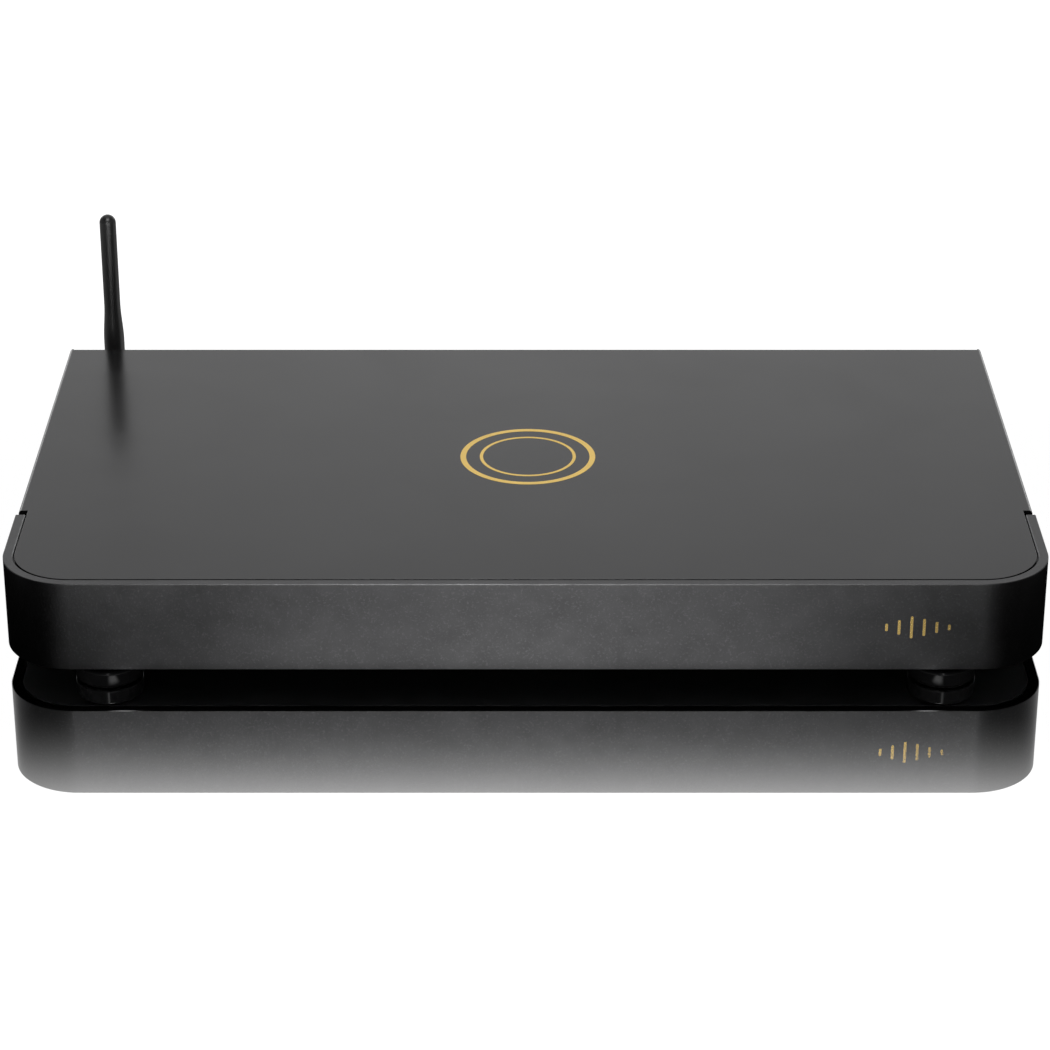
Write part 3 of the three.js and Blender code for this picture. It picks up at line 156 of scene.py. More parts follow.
def finish(name, colour, roughness, metallic=0.0, grain=0.6, depth=0.01, drift=0.12, cloud=30.0,
           smear=0.06, scuff_and_glint=None, scuff_and_glint_width=0.4, fleck=0.0, specular=0.5):
    """A finish whose colour drifts and whose gloss changes with handling.

    grain, depth, cloud and the edge colour's width are in millimetres. The edge colour is the colour of the
    edges: scuffed bare metal, and on the front's chamfer also a painted highlight.
    """
    scratch_share, rubbed_gloss, fleck_lift = 0.25, 0.3, 0.01
    material = bpy.data.materials.new(name)
    material.use_nodes = True
    tree = material.node_tree
    shader = tree.nodes["Principled BSDF"]
    shader.inputs["Metallic"].default_value = metallic
    shader.inputs["Specular IOR Level"].default_value = specular
    grained = use(tree, surface_grain, Size=grain, Cloud_Size=cloud)
    marks = use(tree, hand_marks)
    darker = [channel * (1 - drift) for channel in colour] + [1]
    lighter = [min(channel * (1 + drift), 1) for channel in colour] + [1]
    shade = tinted(tree, grained["Cloud"], darker, lighter)
    if fleck:
        bright = [min(channel * (1 + fleck) + fleck_lift * fleck, 1) for channel in colour] + [1]
        shade = tinted(tree, grained["Fleck"], shade, bright)
    dull = maths(tree, "MULTIPLY_ADD", marks["Smear"], smear, roughness)
    dull = maths(tree, "MULTIPLY_ADD", marks["Scratch"], smear * scratch_share, dull)
    # Lighter edges: scuffing, and on the front's chamfer a painted highlight.
    if scuff_and_glint:
        edges = use(tree, edge_scuff_and_glint, Width=scuff_and_glint_width)
        shade = tinted(tree, edges["Rub"], shade, list(scuff_and_glint) + [1])
        dull = maths(tree, "MULTIPLY_ADD", edges["Rub"], -rubbed_gloss * roughness, dull)
    tree.links.new(shade, shader.inputs["Base Color"])
    tree.links.new(dull, shader.inputs["Roughness"])
    bump = node(tree, "Bump", Height=grained["Height"], Distance=depth * MM)
    tree.links.new(bump.outputs["Normal"], shader.inputs["Normal"])
    return material


def dress_node(name, material):
    """Gives a CAD node that is carried over its finish."""
    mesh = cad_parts[name].data
    mesh.materials.clear()
    mesh.materials.append(material)


powder_coat = finish("black powder coat", (0.017, 0.017, 0.018), 0.46, grain=0.9, depth=0.05, smear=0.08,
                     scuff_and_glint=(0.06, 0.06, 0.062), scuff_and_glint_width=0.3)
dress_node("chassis_tray", powder_coat)


# Feet: turned from aluminium bar, anodised and polished black, with a narrower neck that lets the
# case seem to float. A rubber pad is pressed into the recess underneath, and a screw comes down
# from inside the tray.
def arc(x, y, radius, start, end, steps):
    """Points along an arc, from one angle to another in degrees."""
    angles = [math.radians(start + (end - start) * i / steps) for i in range(steps + 1)]
    return [(x + radius * math.cos(angle), y + radius * math.sin(angle)) for angle in angles]


def solid(name, corners, faces):
    """A closed mesh from corners in millimetres, its doubled corners welded and its faces outwards."""
    mesh = bpy.data.meshes.new(name)
    mesh.from_pydata([(x * MM, y * MM, z * MM) for x, y, z in corners], [], faces)
    shape = bmesh.new()
    shape.from_mesh(mesh)
    bmesh.ops.remove_doubles(shape, verts=shape.verts, dist=1e-7)
    bmesh.ops.dissolve_degenerate(shape, edges=shape.edges, dist=1e-8)
    bmesh.ops.recalc_face_normals(shape, faces=shape.faces)
    shape.to_mesh(mesh)
    shape.free()
    made = bpy.data.objects.new(name, mesh)
    bpy.context.scene.collection.objects.link(made)
    return made


AXES = {
    "x": lambda a, b, along: (along, a, b),
    "y": lambda a, b, along: (a, along, b),
    "z": lambda a, b, along: (a, b, along),
}


def turned(name, profile, middle, axis="z", sides=64):
    """A profile of (radius, distance along) turned about an axis through a point."""
    corners, faces = [], []
    count = len(profile)
    for side in range(sides):
        angle = 2 * math.pi * side / sides
        for radius, along in profile:
            x, y, z = AXES[axis](radius * math.cos(angle), radius * math.sin(angle), along)
            corners.append((x + middle[0], y + middle[1], z + middle[2]))
    for side in range(sides):
        here, there = side * count, (side + 1) % sides * count
        for i in range(count):
            j = (i + 1) % count
            if profile[i][0] or profile[j][0]:
                faces.append((here + i, here + j, there + j, there + i))
    return solid(name, corners, faces)


def settle(piece):
    """Applies what a shape's modifiers do to it."""
    graph = bpy.context.evaluated_depsgraph_get()
    done = bpy.data.meshes.new_from_object(piece.evaluated_get(graph))
    piece.modifiers.clear()
    piece.data = done


def dress(piece, material, body="case", stands_for=(), edge=0.0, steps=2, sharp=35):
    """Rounds a shape's edges, gives it its finish and fixes it to its body."""
    if edge:
        bevel = piece.modifiers.new("edges", "BEVEL")
        bevel.width = edge * MM
        bevel.segments = steps
        bevel.limit_method = "ANGLE"
        bevel.angle_limit = math.radians(sharp)
        bevel.use_clamp_overlap = True
        settle(piece)
    crease = 50 if edge else sharp
    piece.data.shade_smooth()
    piece.data.set_sharp_from_angle(angle=math.radians(crease))
    weighted = piece.modifiers.new("even", "WEIGHTED_NORMAL")
    weighted.keep_sharp = True
    settle(piece)
    piece.data.materials.clear()
    piece.data.materials.append(material)
    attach(piece, body)
    for name in stands_for:
        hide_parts(name)
    return piece


foot_black = finish("polished black anodising", (0.006, 0.006, 0.0063), 0.1, metallic=0.1, grain=0.15,
                    depth=0.002, smear=0.12, cloud=8.0, specular=0.16)
pad_rubber = finish("foot rubber", (0.016, 0.016, 0.016), 0.82, grain=0.3, depth=0.02, drift=0.2, fleck=0.5)
zinc = finish("zinc plate", (0.52, 0.53, 0.55), 0.32, metallic=1.0, grain=0.12, depth=0.002, drift=0.1,
              cloud=4.0)
FEET = {"front_left": (-172.0, -122.45), "front_right": (172.0, -122.45),
        "rear_left": (-172.0, 80.35), "rear_right": (172.0, 80.35)}
GROOVES = (8.6, 6.4, 4.2, 2.0)
foot_profile = [
    (0, 2.0), (11.3, 2.0), (11.3, 0.95), *arc(11.6, 1.1, 0.3, 180, 270, 4),
    *arc(13.2, 1.6, 0.8, 270, 360, 6), (14.0, 6.2), *arc(12.7, 6.2, 1.3, 0, 90, 8), (9.9, 7.5),
    *arc(9.9, 7.9, 0.4, 270, 180, 4), (9.5, 9.2), (2.3, 9.2), (2.3, 5.2), (0, 5.2),
]
pad_profile = [(0, 1.7), (11.0, 1.7), (11.0, 0.6), *arc(10.5, 0.5, 0.5, 0, -90, 4)]
for ring in GROOVES:
    pad_profile += [(ring + 0.5, 0.0), (ring + 0.25, 0.35), (ring - 0.25, 0.35), (ring - 0.5, 0.0)]
pad_profile += [(0, 0.0)]
for corner, (x, y) in FEET.items():
    dress(turned(f"turned_foot_{corner}", foot_profile, (x, y, 0), sides=96), foot_black,
          stands_for=[f"foot_{corner}"])
    dress(turned(f"rubber_pad_{corner}", pad_profile, (x, y, 0), sides=72), pad_rubber,
          stands_for=[f"foot_pad_{corner}"])
    dress_node(f"foot_screw_{corner}", zinc)


# Boards: glass-fibre laminate with a green solder mask over copper tracks. The main board carries
# the plug-in compute module with its finned heatsink and the screened wireless module. Each board
# stands on pressed-in pillars.
def board_finish():
    """The mask's finish, with tracks that show through it and bare soldered pads."""
    material = finish("green solder mask", (0.014, 0.085, 0.045), 0.32, grain=0.4, depth=0.004, smear=0.05)
    tree = material.node_tree
    shader = tree.nodes["Principled BSDF"]
    mask = shader.inputs["Base Color"].links[0].from_socket
    place = node(tree, "TexCoord").outputs["Object"]
    black, white = (0, 0, 0, 1), (1, 1, 1, 1)
    copper_under_mask, solder = (0.03, 0.16, 0.075, 1), (0.55, 0.52, 0.45, 1)
    grid = node(tree, "TexBrick", {"offset": 0.37, "squash": 1.7, "squash_frequency": 3}, Vector=place,
                Scale=55.0, Mortar_Size=0.045, Color1=black, Color2=black, Mortar=white)
    pads = node(tree, "TexVoronoi", Vector=place, Scale=260.0, Randomness=0.35)
    pad = ranged(tree, pads.outputs["Distance"], 0.2, 0.17)
    tracks = tinted(tree, maths(tree, "MULTIPLY", grid.outputs["Color"], 0.8), mask, copper_under_mask)
    tree.links.new(tinted(tree, pad, tracks, solder), shader.inputs["Base Color"])
    tree.links.new(maths(tree, "MULTIPLY", pad, 0.9), shader.inputs["Metallic"])
    return material


solder_mask = board_finish()
sink_black = finish("black anodised extrusion", (0.03, 0.03, 0.032), 0.42, metallic=0.7, grain=0.3,
                    depth=0.006)
can_tin = finish("tinned screening can", (0.62, 0.61, 0.58), 0.3, metallic=1.0, grain=0.5, depth=0.004,
                 drift=0.08)
for name in ("main_board", "converter_board", "supply_board", "compute_module"):
    dress_node(name, solder_mask)
for name in ("compute_heatsink", "regulator_heatsink"):
    dress_node(name, sink_black)
dress_node("wireless_module", can_tin)


# Reservoir capacitors: aluminium cans in a shrunk blue sleeve, with a rolled groove near the foot
# and a bare disc on top. They stand on the supply board, and solder holds their two pins.
def middle(name):
    """The middle of a node, in millimetres."""
    low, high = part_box(name)
    return [(a + b) / 2 / MM for a, b in zip(low, high)]


def edge_of(name, axis, top=True):
    """Where a node ends along an axis, or begins, in millimetres."""
    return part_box(name)[1 if top else 0]["xyz".index(axis)] / MM


sleeve_blue = finish("shrink sleeve", (0.012, 0.022, 0.075), 0.3, grain=1.5, depth=0.01)
bare_can = finish("bare can top", (0.68, 0.69, 0.7), 0.36, metallic=1.0, grain=0.2, depth=0.003)
for number in (1, 2, 3):
    name = f"reservoir_capacitor_{number}"
    x, y, _ = middle(name)
    base, top = edge_of(name, "z", top=False), edge_of(name, "z")
    can = [(0, base), (7.7, base), *arc(7.5, base + 0.5, 0.5, -60, 0, 3), (8.0, base + 2.2),
           *arc(8.3, base + 3.1, 0.9, 240, 120, 6), (8.0, base + 4.0), (8.0, top - 0.9),
           *arc(7.2, top - 0.8, 0.8, 0, 90, 5), (6.9, top - 0.25), (0, top - 0.25)]
    dress(turned(f"capacitor_sleeve_{number}", can, (x, y, 0)), sleeve_blue, stands_for=[name])
    disc = [(0, top - 0.2), (6.8, top - 0.2), (6.6, top - 0.02), (0, top - 0.02)]
    dress(turned(f"capacitor_top_{number}", disc, (x, y, 0)), bare_can)


# Transformer: a ring core wound with copper and wrapped in overlapping turns of amber tape. A
# dished steel washer and one bolt clamp it to the tray.
tape = finish("amber winding tape", (0.42, 0.2, 0.035), 0.34, grain=0.8, depth=0.01, drift=0.25, cloud=9.0)
ring_x, ring_y, ring_z = middle("transformer")
ring_low, ring_high = edge_of("transformer", "z", top=False), edge_of("transformer", "z")
ring_reach, ring_hole, ring_round, half_height = 32, 10, 7, 12
wraps, fold, tape_lift, slant = 44, 6, 0.35, 2.5
ring_line, half_width = (ring_reach + ring_hole) / 2, (ring_reach - ring_hole) / 2
outer, inner = ring_reach - ring_round, ring_hole + ring_round
section = [*arc(outer, ring_low + ring_round, ring_round, -90, 0, 8),
           *arc(outer, ring_high - ring_round, ring_round, 0, 90, 8),
           *arc(inner, ring_high - ring_round, ring_round, 90, 180, 8),
           *arc(inner, ring_low + ring_round, ring_round, 180, 270, 8)]
corners, faces = [], []
count, turns = len(section), wraps * fold
for turn in range(turns):
    sunk = tape_lift - tape_lift * (turn % fold) / fold
    for i, (radius, z) in enumerate(section):
        swing = 2 * math.pi * (turn + slant * i / count) / turns
        radius = ring_line + (radius - ring_line) * (1 - sunk / half_width)
        z = ring_z + (z - ring_z) * (1 - sunk / half_height)
        corners.append((ring_x + radius * math.cos(swing), ring_y + radius * math.sin(swing), z))
for turn in range(turns):
    here, there = turn * count, (turn + 1) % turns * count
    faces += [(here + i, here + (i + 1) % count, there + (i + 1) % count, there + i) for i in range(count)]
dress(solid("wound_ring", corners, faces), tape, stands_for=["transformer"])
dress_node("transformer_washer", zinc)
dress_node("transformer_bolt", zinc)


# Leads inside the case: stranded copper in grey insulation, which join inlet, switch, transformer
# and boards, and a thin coaxial lead from the wireless module to the antenna socket.
def tube(name, start, leaving, end, arriving, radius, reach=15.0, steps=40, sides=16):
    """A round lead on one smooth curve, square to its seats at both ends."""
    points = []
    for i in range(steps + 1):
        t = i / steps
        near, far = 3 * t * (1 - t) ** 2, 3 * t * t * (1 - t)
        points.append([(1 - t) ** 3 * a + near * (a + d * reach) + far * (b + e * reach) + t ** 3 * b
                       for a, d, b, e in zip(start, leaving, end, arriving)])
    corners, faces = [], []
    across = None
    for i, point in enumerate(points):
        before, after = points[max(i - 1, 0)], points[min(i + 1, steps)]
        along = [b - a for a, b in zip(before, after)]
        length = math.sqrt(sum(value * value for value in along))
        along = [value / length for value in along]
        if across is None:
            across = [0.0, 0.0, 1.0] if abs(along[2]) < 0.9 else [1.0, 0.0, 0.0]
        dot = sum(a * b for a, b in zip(across, along))
        across = [a - dot * b for a, b in zip(across, along)]
        length = math.sqrt(sum(value * value for value in across))
        across = [value / length for value in across]
        other = [along[1] * across[2] - along[2] * across[1], along[2] * across[0] - along[0] * across[2],
                 along[0] * across[1] - along[1] * across[0]]
        for side in range(sides):
            angle = 2 * math.pi * side / sides
            corners.append([p + radius * (math.cos(angle) * a + math.sin(angle) * b)
                            for p, a, b in zip(point, across, other)])
    for i in range(steps):
        for side in range(sides):
            here, there = i * sides, (i + 1) * sides
            nxt = (side + 1) % sides
            faces.append((here + side, here + nxt, there + nxt, there + side))
    faces += [tuple(range(sides)), tuple(range(steps * sides, (steps + 1) * sides))]
    return solid(name, corners, faces)


PANEL = 110.55  # the rear panel's outer face
lead_grey = finish("grey insulation", (0.16, 0.165, 0.17), 0.5, grain=0.8, depth=0.01, drift=0.1)
coax_black = finish("thin coaxial lead", (0.02, 0.02, 0.02), 0.45, grain=0.5, depth=0.01)
inlet_x, socket_z, switch_x = 176.5, 28.0, 132.0
antenna_x, antenna_z = -196.0, 24.0
room, diagonal = 0.3, math.sqrt(0.5)
thick, medium, thin = 2.0, 1.6, 0.8
inwards, upwards = (0, -1, 0), (0, 0, 1)
pin_z = middle("mains_pin_live")[2]
tab = (inlet_x - 7, edge_of("mains_pin_live", "y", top=False) - room, pin_z)
switch_back = PANEL - 13.3
winding_reach = ring_reach + room
board_z = edge_of("main_board", "z") + room
supply_y = edge_of("supply_board", "y", top=False) + 47.5
supply_right = (edge_of("supply_board", "x") - 9, supply_y, board_z)
supply_left = (edge_of("supply_board", "x", top=False) + 9, supply_y, board_z)
main_board_seat = (edge_of("main_board", "x") - 9, edge_of("compute_module", "y", top=False) - 6, board_z)
wireless_seat = (*middle("wireless_module")[:2], edge_of("wireless_module", "z") + room)
winding_seat = (ring_x - winding_reach * diagonal, ring_y + winding_reach * diagonal, ring_z)
LEADS = {
    "inlet_lead": (tab, inwards, (switch_x + 3, switch_back, pin_z), inwards, thick),
    "primary_lead": ((switch_x - 3, switch_back, pin_z), inwards, winding_seat, (-diagonal, diagonal, 0),
                     thick),
    "secondary_lead": ((ring_x - winding_reach, ring_y, ring_z), (-1, 0, 0), supply_right, upwards, medium),
    "supply_lead": (supply_left, upwards, main_board_seat, upwards, medium),
    "antenna_lead": ((antenna_x, PANEL - 10.7, antenna_z), inwards, wireless_seat, upwards, thin),
}
for name, (start, leaving, end, arriving, radius) in LEADS.items():
    insulation, slot = (coax_black, "black_moulding") if radius == thin else (lead_grey, "cable")
    dress(tube(f"smooth_{name}", start, leaving, end, arriving, radius), insulation, stands_for=[name])


# Rear panel: 1.5 mm steel, punched for the sockets and coated like the tray. Pan-head screws pull
# it against the tray's three tabs, and button heads underneath hold the front to the tray.
def combine(shape, tools, operation="DIFFERENCE"):
    """Cuts tools out of a shape, or joins them to it."""
    for tool in tools:
        step = shape.modifiers.new("combine", "BOOLEAN")
        step.operation = operation
        step.solver = "EXACT"
        step.object = tool
    settle(shape)
    for tool in tools:
        bpy.data.objects.remove(tool)
    return shape


def prism(name, outline, low, high, axis="z"):
    """An outline carried straight along an axis."""
    count = len(outline)
    corners = [AXES[axis](a, b, along) for along in (low, high) for a, b in outline]
    faces = [tuple(range(count)), tuple(range(2 * count - 1, count - 1, -1))]
    faces += [(i, (i + 1) % count, count + (i + 1) % count, count + i) for i in range(count)]
    return solid(name, corners, faces)


def polygon(x, z, across, sides=6):
    """A regular outline, measured across its flats."""
    reach = across / 2 / math.cos(math.pi / sides)
    angles = [2 * math.pi * i / sides for i in range(sides)]
    return [(x + reach * math.cos(angle), z + reach * math.sin(angle)) for angle in angles]


black_screw = finish("blackened screw", (0.03, 0.03, 0.032), 0.36, metallic=0.8, grain=0.1, depth=0.002,
                     scuff_and_glint=(0.2, 0.2, 0.2), scuff_and_glint_width=0.2)
dress_node("rear_panel", powder_coat)


def screw(name, seat, head, rise, axis):
    """A domed screw head with a hexagon socket, which looks along +Y, or down where axis is z."""
    rim, drive, depth_share = 0.35, 2.0, 0.35
    dome = [(0, 0), (head, 0), *arc(head - rim, rim, rim, 0, 60, 4), (head * 0.62, rise * 0.93), (0, rise)]
    way = 1 if axis == "y" else -1
    made = turned(name, [(radius, way * along) for radius, along in dome], seat, axis=axis, sides=40)
    x, y, z = seat
    across, face = ((x, z), y) if axis == "y" else ((x, y), z)
    low, high = sorted((face + way * rise * depth_share, face + way * (rise + 1)))
    combine(made, [prism("socket", polygon(*across, drive), low, high, axis)])
    dress(made, black_screw)


for number, x in enumerate((-153.0, 117.94, 204.0), 1):
    screw(f"panel_screw_{number}", (x, PANEL, 15.3), 2.75, 1.7, "y")
for number, (x, y) in enumerate(((-202, -85), (202, -85), (-202, 95), (202, 95)), 1):
    screw(f"underside_screw_{number}", (x, y, 9.5), 2.6, 1.4, "z")


# Mains inlet: one black thermoplastic moulding with a recess for the plug, three nickel-plated
# pins, and a drawer below for the fuse. Two countersunk screws hold its flange.
def from_panel(name, outline, low, high):
    """An outline of (x, z) carried along Y, from low to high past the rear panel's outer face."""
    return prism(name, outline, PANEL + low, PANEL + high, "y")


def rectangle(x, z, width, height, radius=0.0, steps=6):
    """A rectangle about a middle, with round corners where a radius is given."""
    if not radius:
        return [(x - width / 2, z - height / 2), (x + width / 2, z - height / 2),
                (x + width / 2, z + height / 2), (x - width / 2, z + height / 2)]
    right, top = width / 2 - radius, height / 2 - radius
    return [*arc(x + right, z - top, radius, -90, 0, steps), *arc(x + right, z + top, radius, 0, 90, steps),
            *arc(x - right, z + top, radius, 90, 180, steps),
            *arc(x - right, z - top, radius, 180, 270, steps)]


moulding = finish("black thermoplastic", (0.013, 0.013, 0.014), 0.38, grain=0.35, depth=0.02, smear=0.1)
pin_nickel = finish("nickel plate", (0.6, 0.57, 0.5), 0.24, metallic=1.0, grain=0.3, depth=0.002, drift=0.08)
body_height, wall, slot_height, screw_reach = 27.4, 1.3, 7, 20
reach, rise, cut = 12.2, 8.2, 4.5
recess_z = socket_z + body_height / 2 - wall - rise
drawer_z = socket_z - body_height / 2 + wall + slot_height / 2
recess = [(-reach, -rise), (reach, -rise), (reach, rise - cut), (reach - cut, rise), (cut - reach, rise),
          (-reach, rise - cut)]
recess = [(inlet_x + a, recess_z + b) for a, b in recess]
PINS = {"live": (-7, -2), "neutral": (7, -2), "earth": (0, 2)}
flange = from_panel("inlet_moulding", rectangle(inlet_x, socket_z, 50, 29.6, 3.0), 0.3, 2.0)
combine(flange, [from_panel("body", rectangle(inlet_x, socket_z, 27, body_height), -20, 1.9)], "UNION")
tools = [from_panel("recess", recess, -14.5, 4),
         from_panel("slot", rectangle(inlet_x, drawer_z, 24.4, slot_height), -12.8, 4)]
for dx, dz in PINS.values():
    tools.append(from_panel("slit", rectangle(inlet_x + dx, recess_z + dz, 2.3, 4.3), -22, 0))
for side in (-screw_reach, screw_reach):
    sunk = [(0, -3), (1.7, -3), (1.7, 0.6), (3.1, 2.0), (3.1, 3), (0, 3)]
    tools.append(turned("hole", sunk, (inlet_x + side, PANEL, socket_z), axis="y", sides=40))
dress(combine(flange, tools), moulding, stands_for=["mains_inlet"], edge=0.3)
for name, (dx, dz) in PINS.items():
    blade = from_panel(f"blade_{name}", rectangle(inlet_x + dx, recess_z + dz, 2, 4, 0.25, 3), -20, 1)
    tab = from_panel("tab", rectangle(inlet_x + dx, recess_z + dz, 0.8, 4), -28, -19)
    dress(combine(blade, [tab], "UNION"), pin_nickel, stands_for=[f"mains_pin_{name}"],
          edge=0.35)
for number, side in enumerate((-screw_reach, screw_reach), 1):
    sunk = [(0, -2.0), (1.45, -2.0), (1.45, 0.55), (2.75, 1.8), (2.75, 1.95), (0, 1.95)]
    head = turned(f"inlet_screw_{number}", sunk, (inlet_x + side, PANEL, socket_z), axis="y", sides=40)
    cross = [from_panel("slot", rectangle(inlet_x + side, socket_z, *size), 0.9, 3)
             for size in ((3.2, 0.65), (0.65, 3.2))]
    dress(combine(head, cross), black_screw, edge=0.06)


# Fuse drawer: a moulded trough that slides in under the plug's recess, with a thumb notch in its
# face. It carries the fuse: a glass tube with a thin wire along its middle, which joins two pressed
# brass caps, nickel plated.
def box_between(name, low, high):
    """A block between two corners."""
    return prism(name, [(low[0], low[1]), (high[0], low[1]), (high[0], high[1]), (low[0], high[1])],
                 low[2], high[2])


drawer = from_panel("moulded_drawer", rectangle(inlet_x, drawer_z, 23.8, 6.4), -12.5, 2.35)
face = from_panel("face", rectangle(inlet_x, drawer_z, 25, 7.6, 0.7), 2.3, 3.8)
combine(drawer, [face], "UNION")
trough = box_between("trough", (inlet_x - 10.3, PANEL - 8.05, drawer_z - 2.6),
                     (inlet_x + 10.3, PANEL - 2.45, drawer_z + 5))
notch = box_between("notch", (inlet_x - 4.5, PANEL + 3.0, drawer_z + 2.6),
                    (inlet_x + 4.5, PANEL + 5, drawer_z + 6))
dress(combine(drawer, [trough, notch]), moulding, body="drawer",
      stands_for=["fuse_drawer"], edge=0.25)
fuse_glass = finish("fuse glass", (0.75, 0.8, 0.8), 0.06, grain=2.0, depth=0.004, drift=0.05, smear=0.03)
fuse_glass.node_tree.nodes["Principled BSDF"].inputs["Transmission Weight"].default_value = 0.85
fuse_centre = middle("fuse")
tube_wall = [(1.85, -9.5), (2.3, -9.5), (2.35, -9.45), (2.35, 9.45), (2.3, 9.5), (1.85, 9.5)]
dress(turned("fuse_tube", tube_wall, fuse_centre, axis="x", sides=48), fuse_glass,
      body="drawer", stands_for=["fuse"])
wire = [(0, -9.7), (0.12, -9.7), (0.12, 9.7), (0, 9.7)]
dress(turned("fuse_wire", wire, fuse_centre, axis="x", sides=12), pin_nickel, body="drawer")
for name, way in (("left", -1), ("right", 1)):
    cap = [(0, 10), (2.3, 10), (2.44, 9.94), (2.5, 9.8), (2.5, 4.55), (2.46, 4.5), (2.37, 4.5), (2.37, 9.6),
           (0, 9.6)]
    cap = [(radius, way * along) for radius, along in cap]
    dress(turned(f"fuse_cap_{name}", cap, fuse_centre, axis="x", sides=48), pin_nickel,
          body="drawer")


# Mains switch: a moulded housing and a glossy rocker, which turns on two pins in its side walls.
# The rocker's two printed marks are the usual stroke and ring.
switch = from_panel("switch_moulding", rectangle(switch_x, socket_z, 15, 21, 1.5), 0.3, 1.5)
combine(switch, [from_panel("body", rectangle(switch_x, socket_z, 13, 17.8), -13, 1.4)], "UNION")
pivot_depth = -0.7
rocker_pivot = (switch_x, PANEL + pivot_depth, socket_z)
well = from_panel("well", rectangle(switch_x, socket_z, 10.4, 15.2), pivot_depth - 7.6, 4)
bore = turned("bore", [(0, -14), (1.25, -14), (1.25, 14), (0, 14)], rocker_pivot, axis="x", sides=24)
dress(combine(switch, [well, bore]), moulding, stands_for=["switch_housing"], edge=0.3)
rocker_gloss = finish("glossy black rocker", (0.008, 0.008, 0.009), 0.12, grain=3.0, depth=0.003, smear=0.12)
mark_white = finish("white pad print", (0.72, 0.72, 0.7), 0.45, grain=0.2, depth=0.004, drift=0.04)
face_reach, face_half, dish, sweep = 3.6, 6.35, 1.0, 7.3
skirt_reach, back_reach, back_half = -3.0, -5.4, 1.6
crown = math.degrees(math.acos(face_reach / sweep))
skirt = math.degrees(math.acos(skirt_reach / sweep))
shares = [i / 8 - 1 for i in range(17)]
side = [(face_reach - dish * math.cos(math.pi / 2 * share), face_half * share) for share in shares]
side += [*arc(0, 0, sweep, crown, skirt, 12), (back_reach, back_half), (back_reach, -back_half),
         *arc(0, 0, sweep, -skirt, -crown, 12)]
tilt = math.radians(9)


def tilted(points):
    """Turns (y, z) about the rocker's pivot to where it rests."""
    _, middle_y, middle_z = rocker_pivot
    return [(middle_y + y * math.cos(tilt) - z * math.sin(tilt),
             middle_z + y * math.sin(tilt) + z * math.cos(tilt)) for y, z in points]


rocker = prism("glossy_rocker", tilted(side), switch_x - 4.9, switch_x + 4.9, "x")
pin = turned("pin", [(0, -5.9), (1.1, -5.9), (1.1, 5.9), (0, 5.9)], rocker_pivot, axis="x", sides=24)
dress(combine(rocker, [pin], "UNION"), rocker_gloss, body="rocker",
      stands_for=["power_rocker"], edge=0.25)


def printed(name, outline, hole=None):
    """A thin print on the rocker's dished face: outline and hole are (x, height up the face)."""
    layers = []
    for points, spread in ((outline, 1), (hole, 3)):
        if points:
            corners, count = [], len(points)
            for lift in (-0.15, 0.05):
                for a, height in points:
                    share = height / face_half
                    y = face_reach - dish * math.cos(math.pi / 2 * share) + lift * spread
                    (py, pz), = tilted([(y, height)])
                    corners.append((switch_x + a, py, pz))
            faces = [tuple(range(count)), tuple(range(2 * count - 1, count - 1, -1))]
            faces += [(i, (i + 1) % count, count + (i + 1) % count, count + i) for i in range(count)]
            layers.append(solid(name, corners, faces))
    if hole:
        combine(layers[0], [layers[1]])
    dress(layers[0], mark_white, body="rocker")


mark_height = 3.3
printed("stroke_mark", rectangle(0, mark_height + 0.1, 0.55, 2.6))
printed("ring_mark", arc(0, -mark_height, 1.35, 0, 350, 35), arc(0, -mark_height, 0.95, 0, 350, 35))


# Network socket: a tinned steel shield folded round a black moulding, with eight gilt springs
# over the mouth and two light pipes in its upper corners.
contact_gold = finish("contact gold", (0.78, 0.52, 0.17), 0.2, metallic=1.0, grain=0.2, depth=0.001,
                      drift=0.06)
light_pipe = finish("frosted light pipe", (0.45, 0.5, 0.42), 0.28, grain=1.0, depth=0.01, drift=0.05)
lan_x, socket_base, pitch = -53.0, 18.9, 1.02
mouth_top, mouth_low = socket_base + 11.7, socket_base + 4.7
left = [(-5.95, mouth_top), (-5.95, mouth_low), (-3.1, mouth_low), (-3.1, mouth_low - 1.6),
        (-1.7, mouth_low - 1.6), (-1.7, mouth_low - 3.0)]
mouth = [(lan_x + a, b) for a, b in left] + [(lan_x - a, b) for a, b in reversed(left)]
shield = from_panel("lan_shield", rectangle(lan_x, socket_base + 6.7, 16, 13.4, 0.5), -20.2, 0.8)
pipes = [rectangle(lan_x + side, socket_base + 12.45, 2.6, 1.0) for side in (-5.6, 5.6)]
tools = [from_panel("window", rectangle(lan_x, socket_base + 6.6, 13.6, 11.4), 0.3, 3),
         from_panel("mouth", mouth, -12.7, 3)]
tools += [from_panel("pipe", outline, -3, 3) for outline in pipes]
dress(combine(shield, tools), can_tin, stands_for=["lan_socket"], edge=0.12)
insert = from_panel("lan_insert", rectangle(lan_x, socket_base + 6.6, 13.5, 11.3), -0.4, 0.55)
dress(combine(insert, [from_panel("mouth", mouth, -3, 3)]), moulding, edge=0.1)
for number, outline in enumerate(pipes, 1):
    dress(from_panel(f"lan_light_pipe_{number}", outline, -2.5, 0.95), light_pipe, edge=0.12)
spring = [(-1.2, -0.3), (-1.2, -0.65), (-8.5, -3.4), (-11.8, -3.6), (-11.8, -3.25), (-8.4, -3.05)]
spring = [(PANEL + y, mouth_top + z) for y, z in spring]
for number in range(8):
    x = lan_x + (number - 3.5) * pitch
    dress(prism(f"lan_spring_{number + 1}", spring, x - 0.23, x + 0.23, "x"), contact_gold,
          edge=0.08)


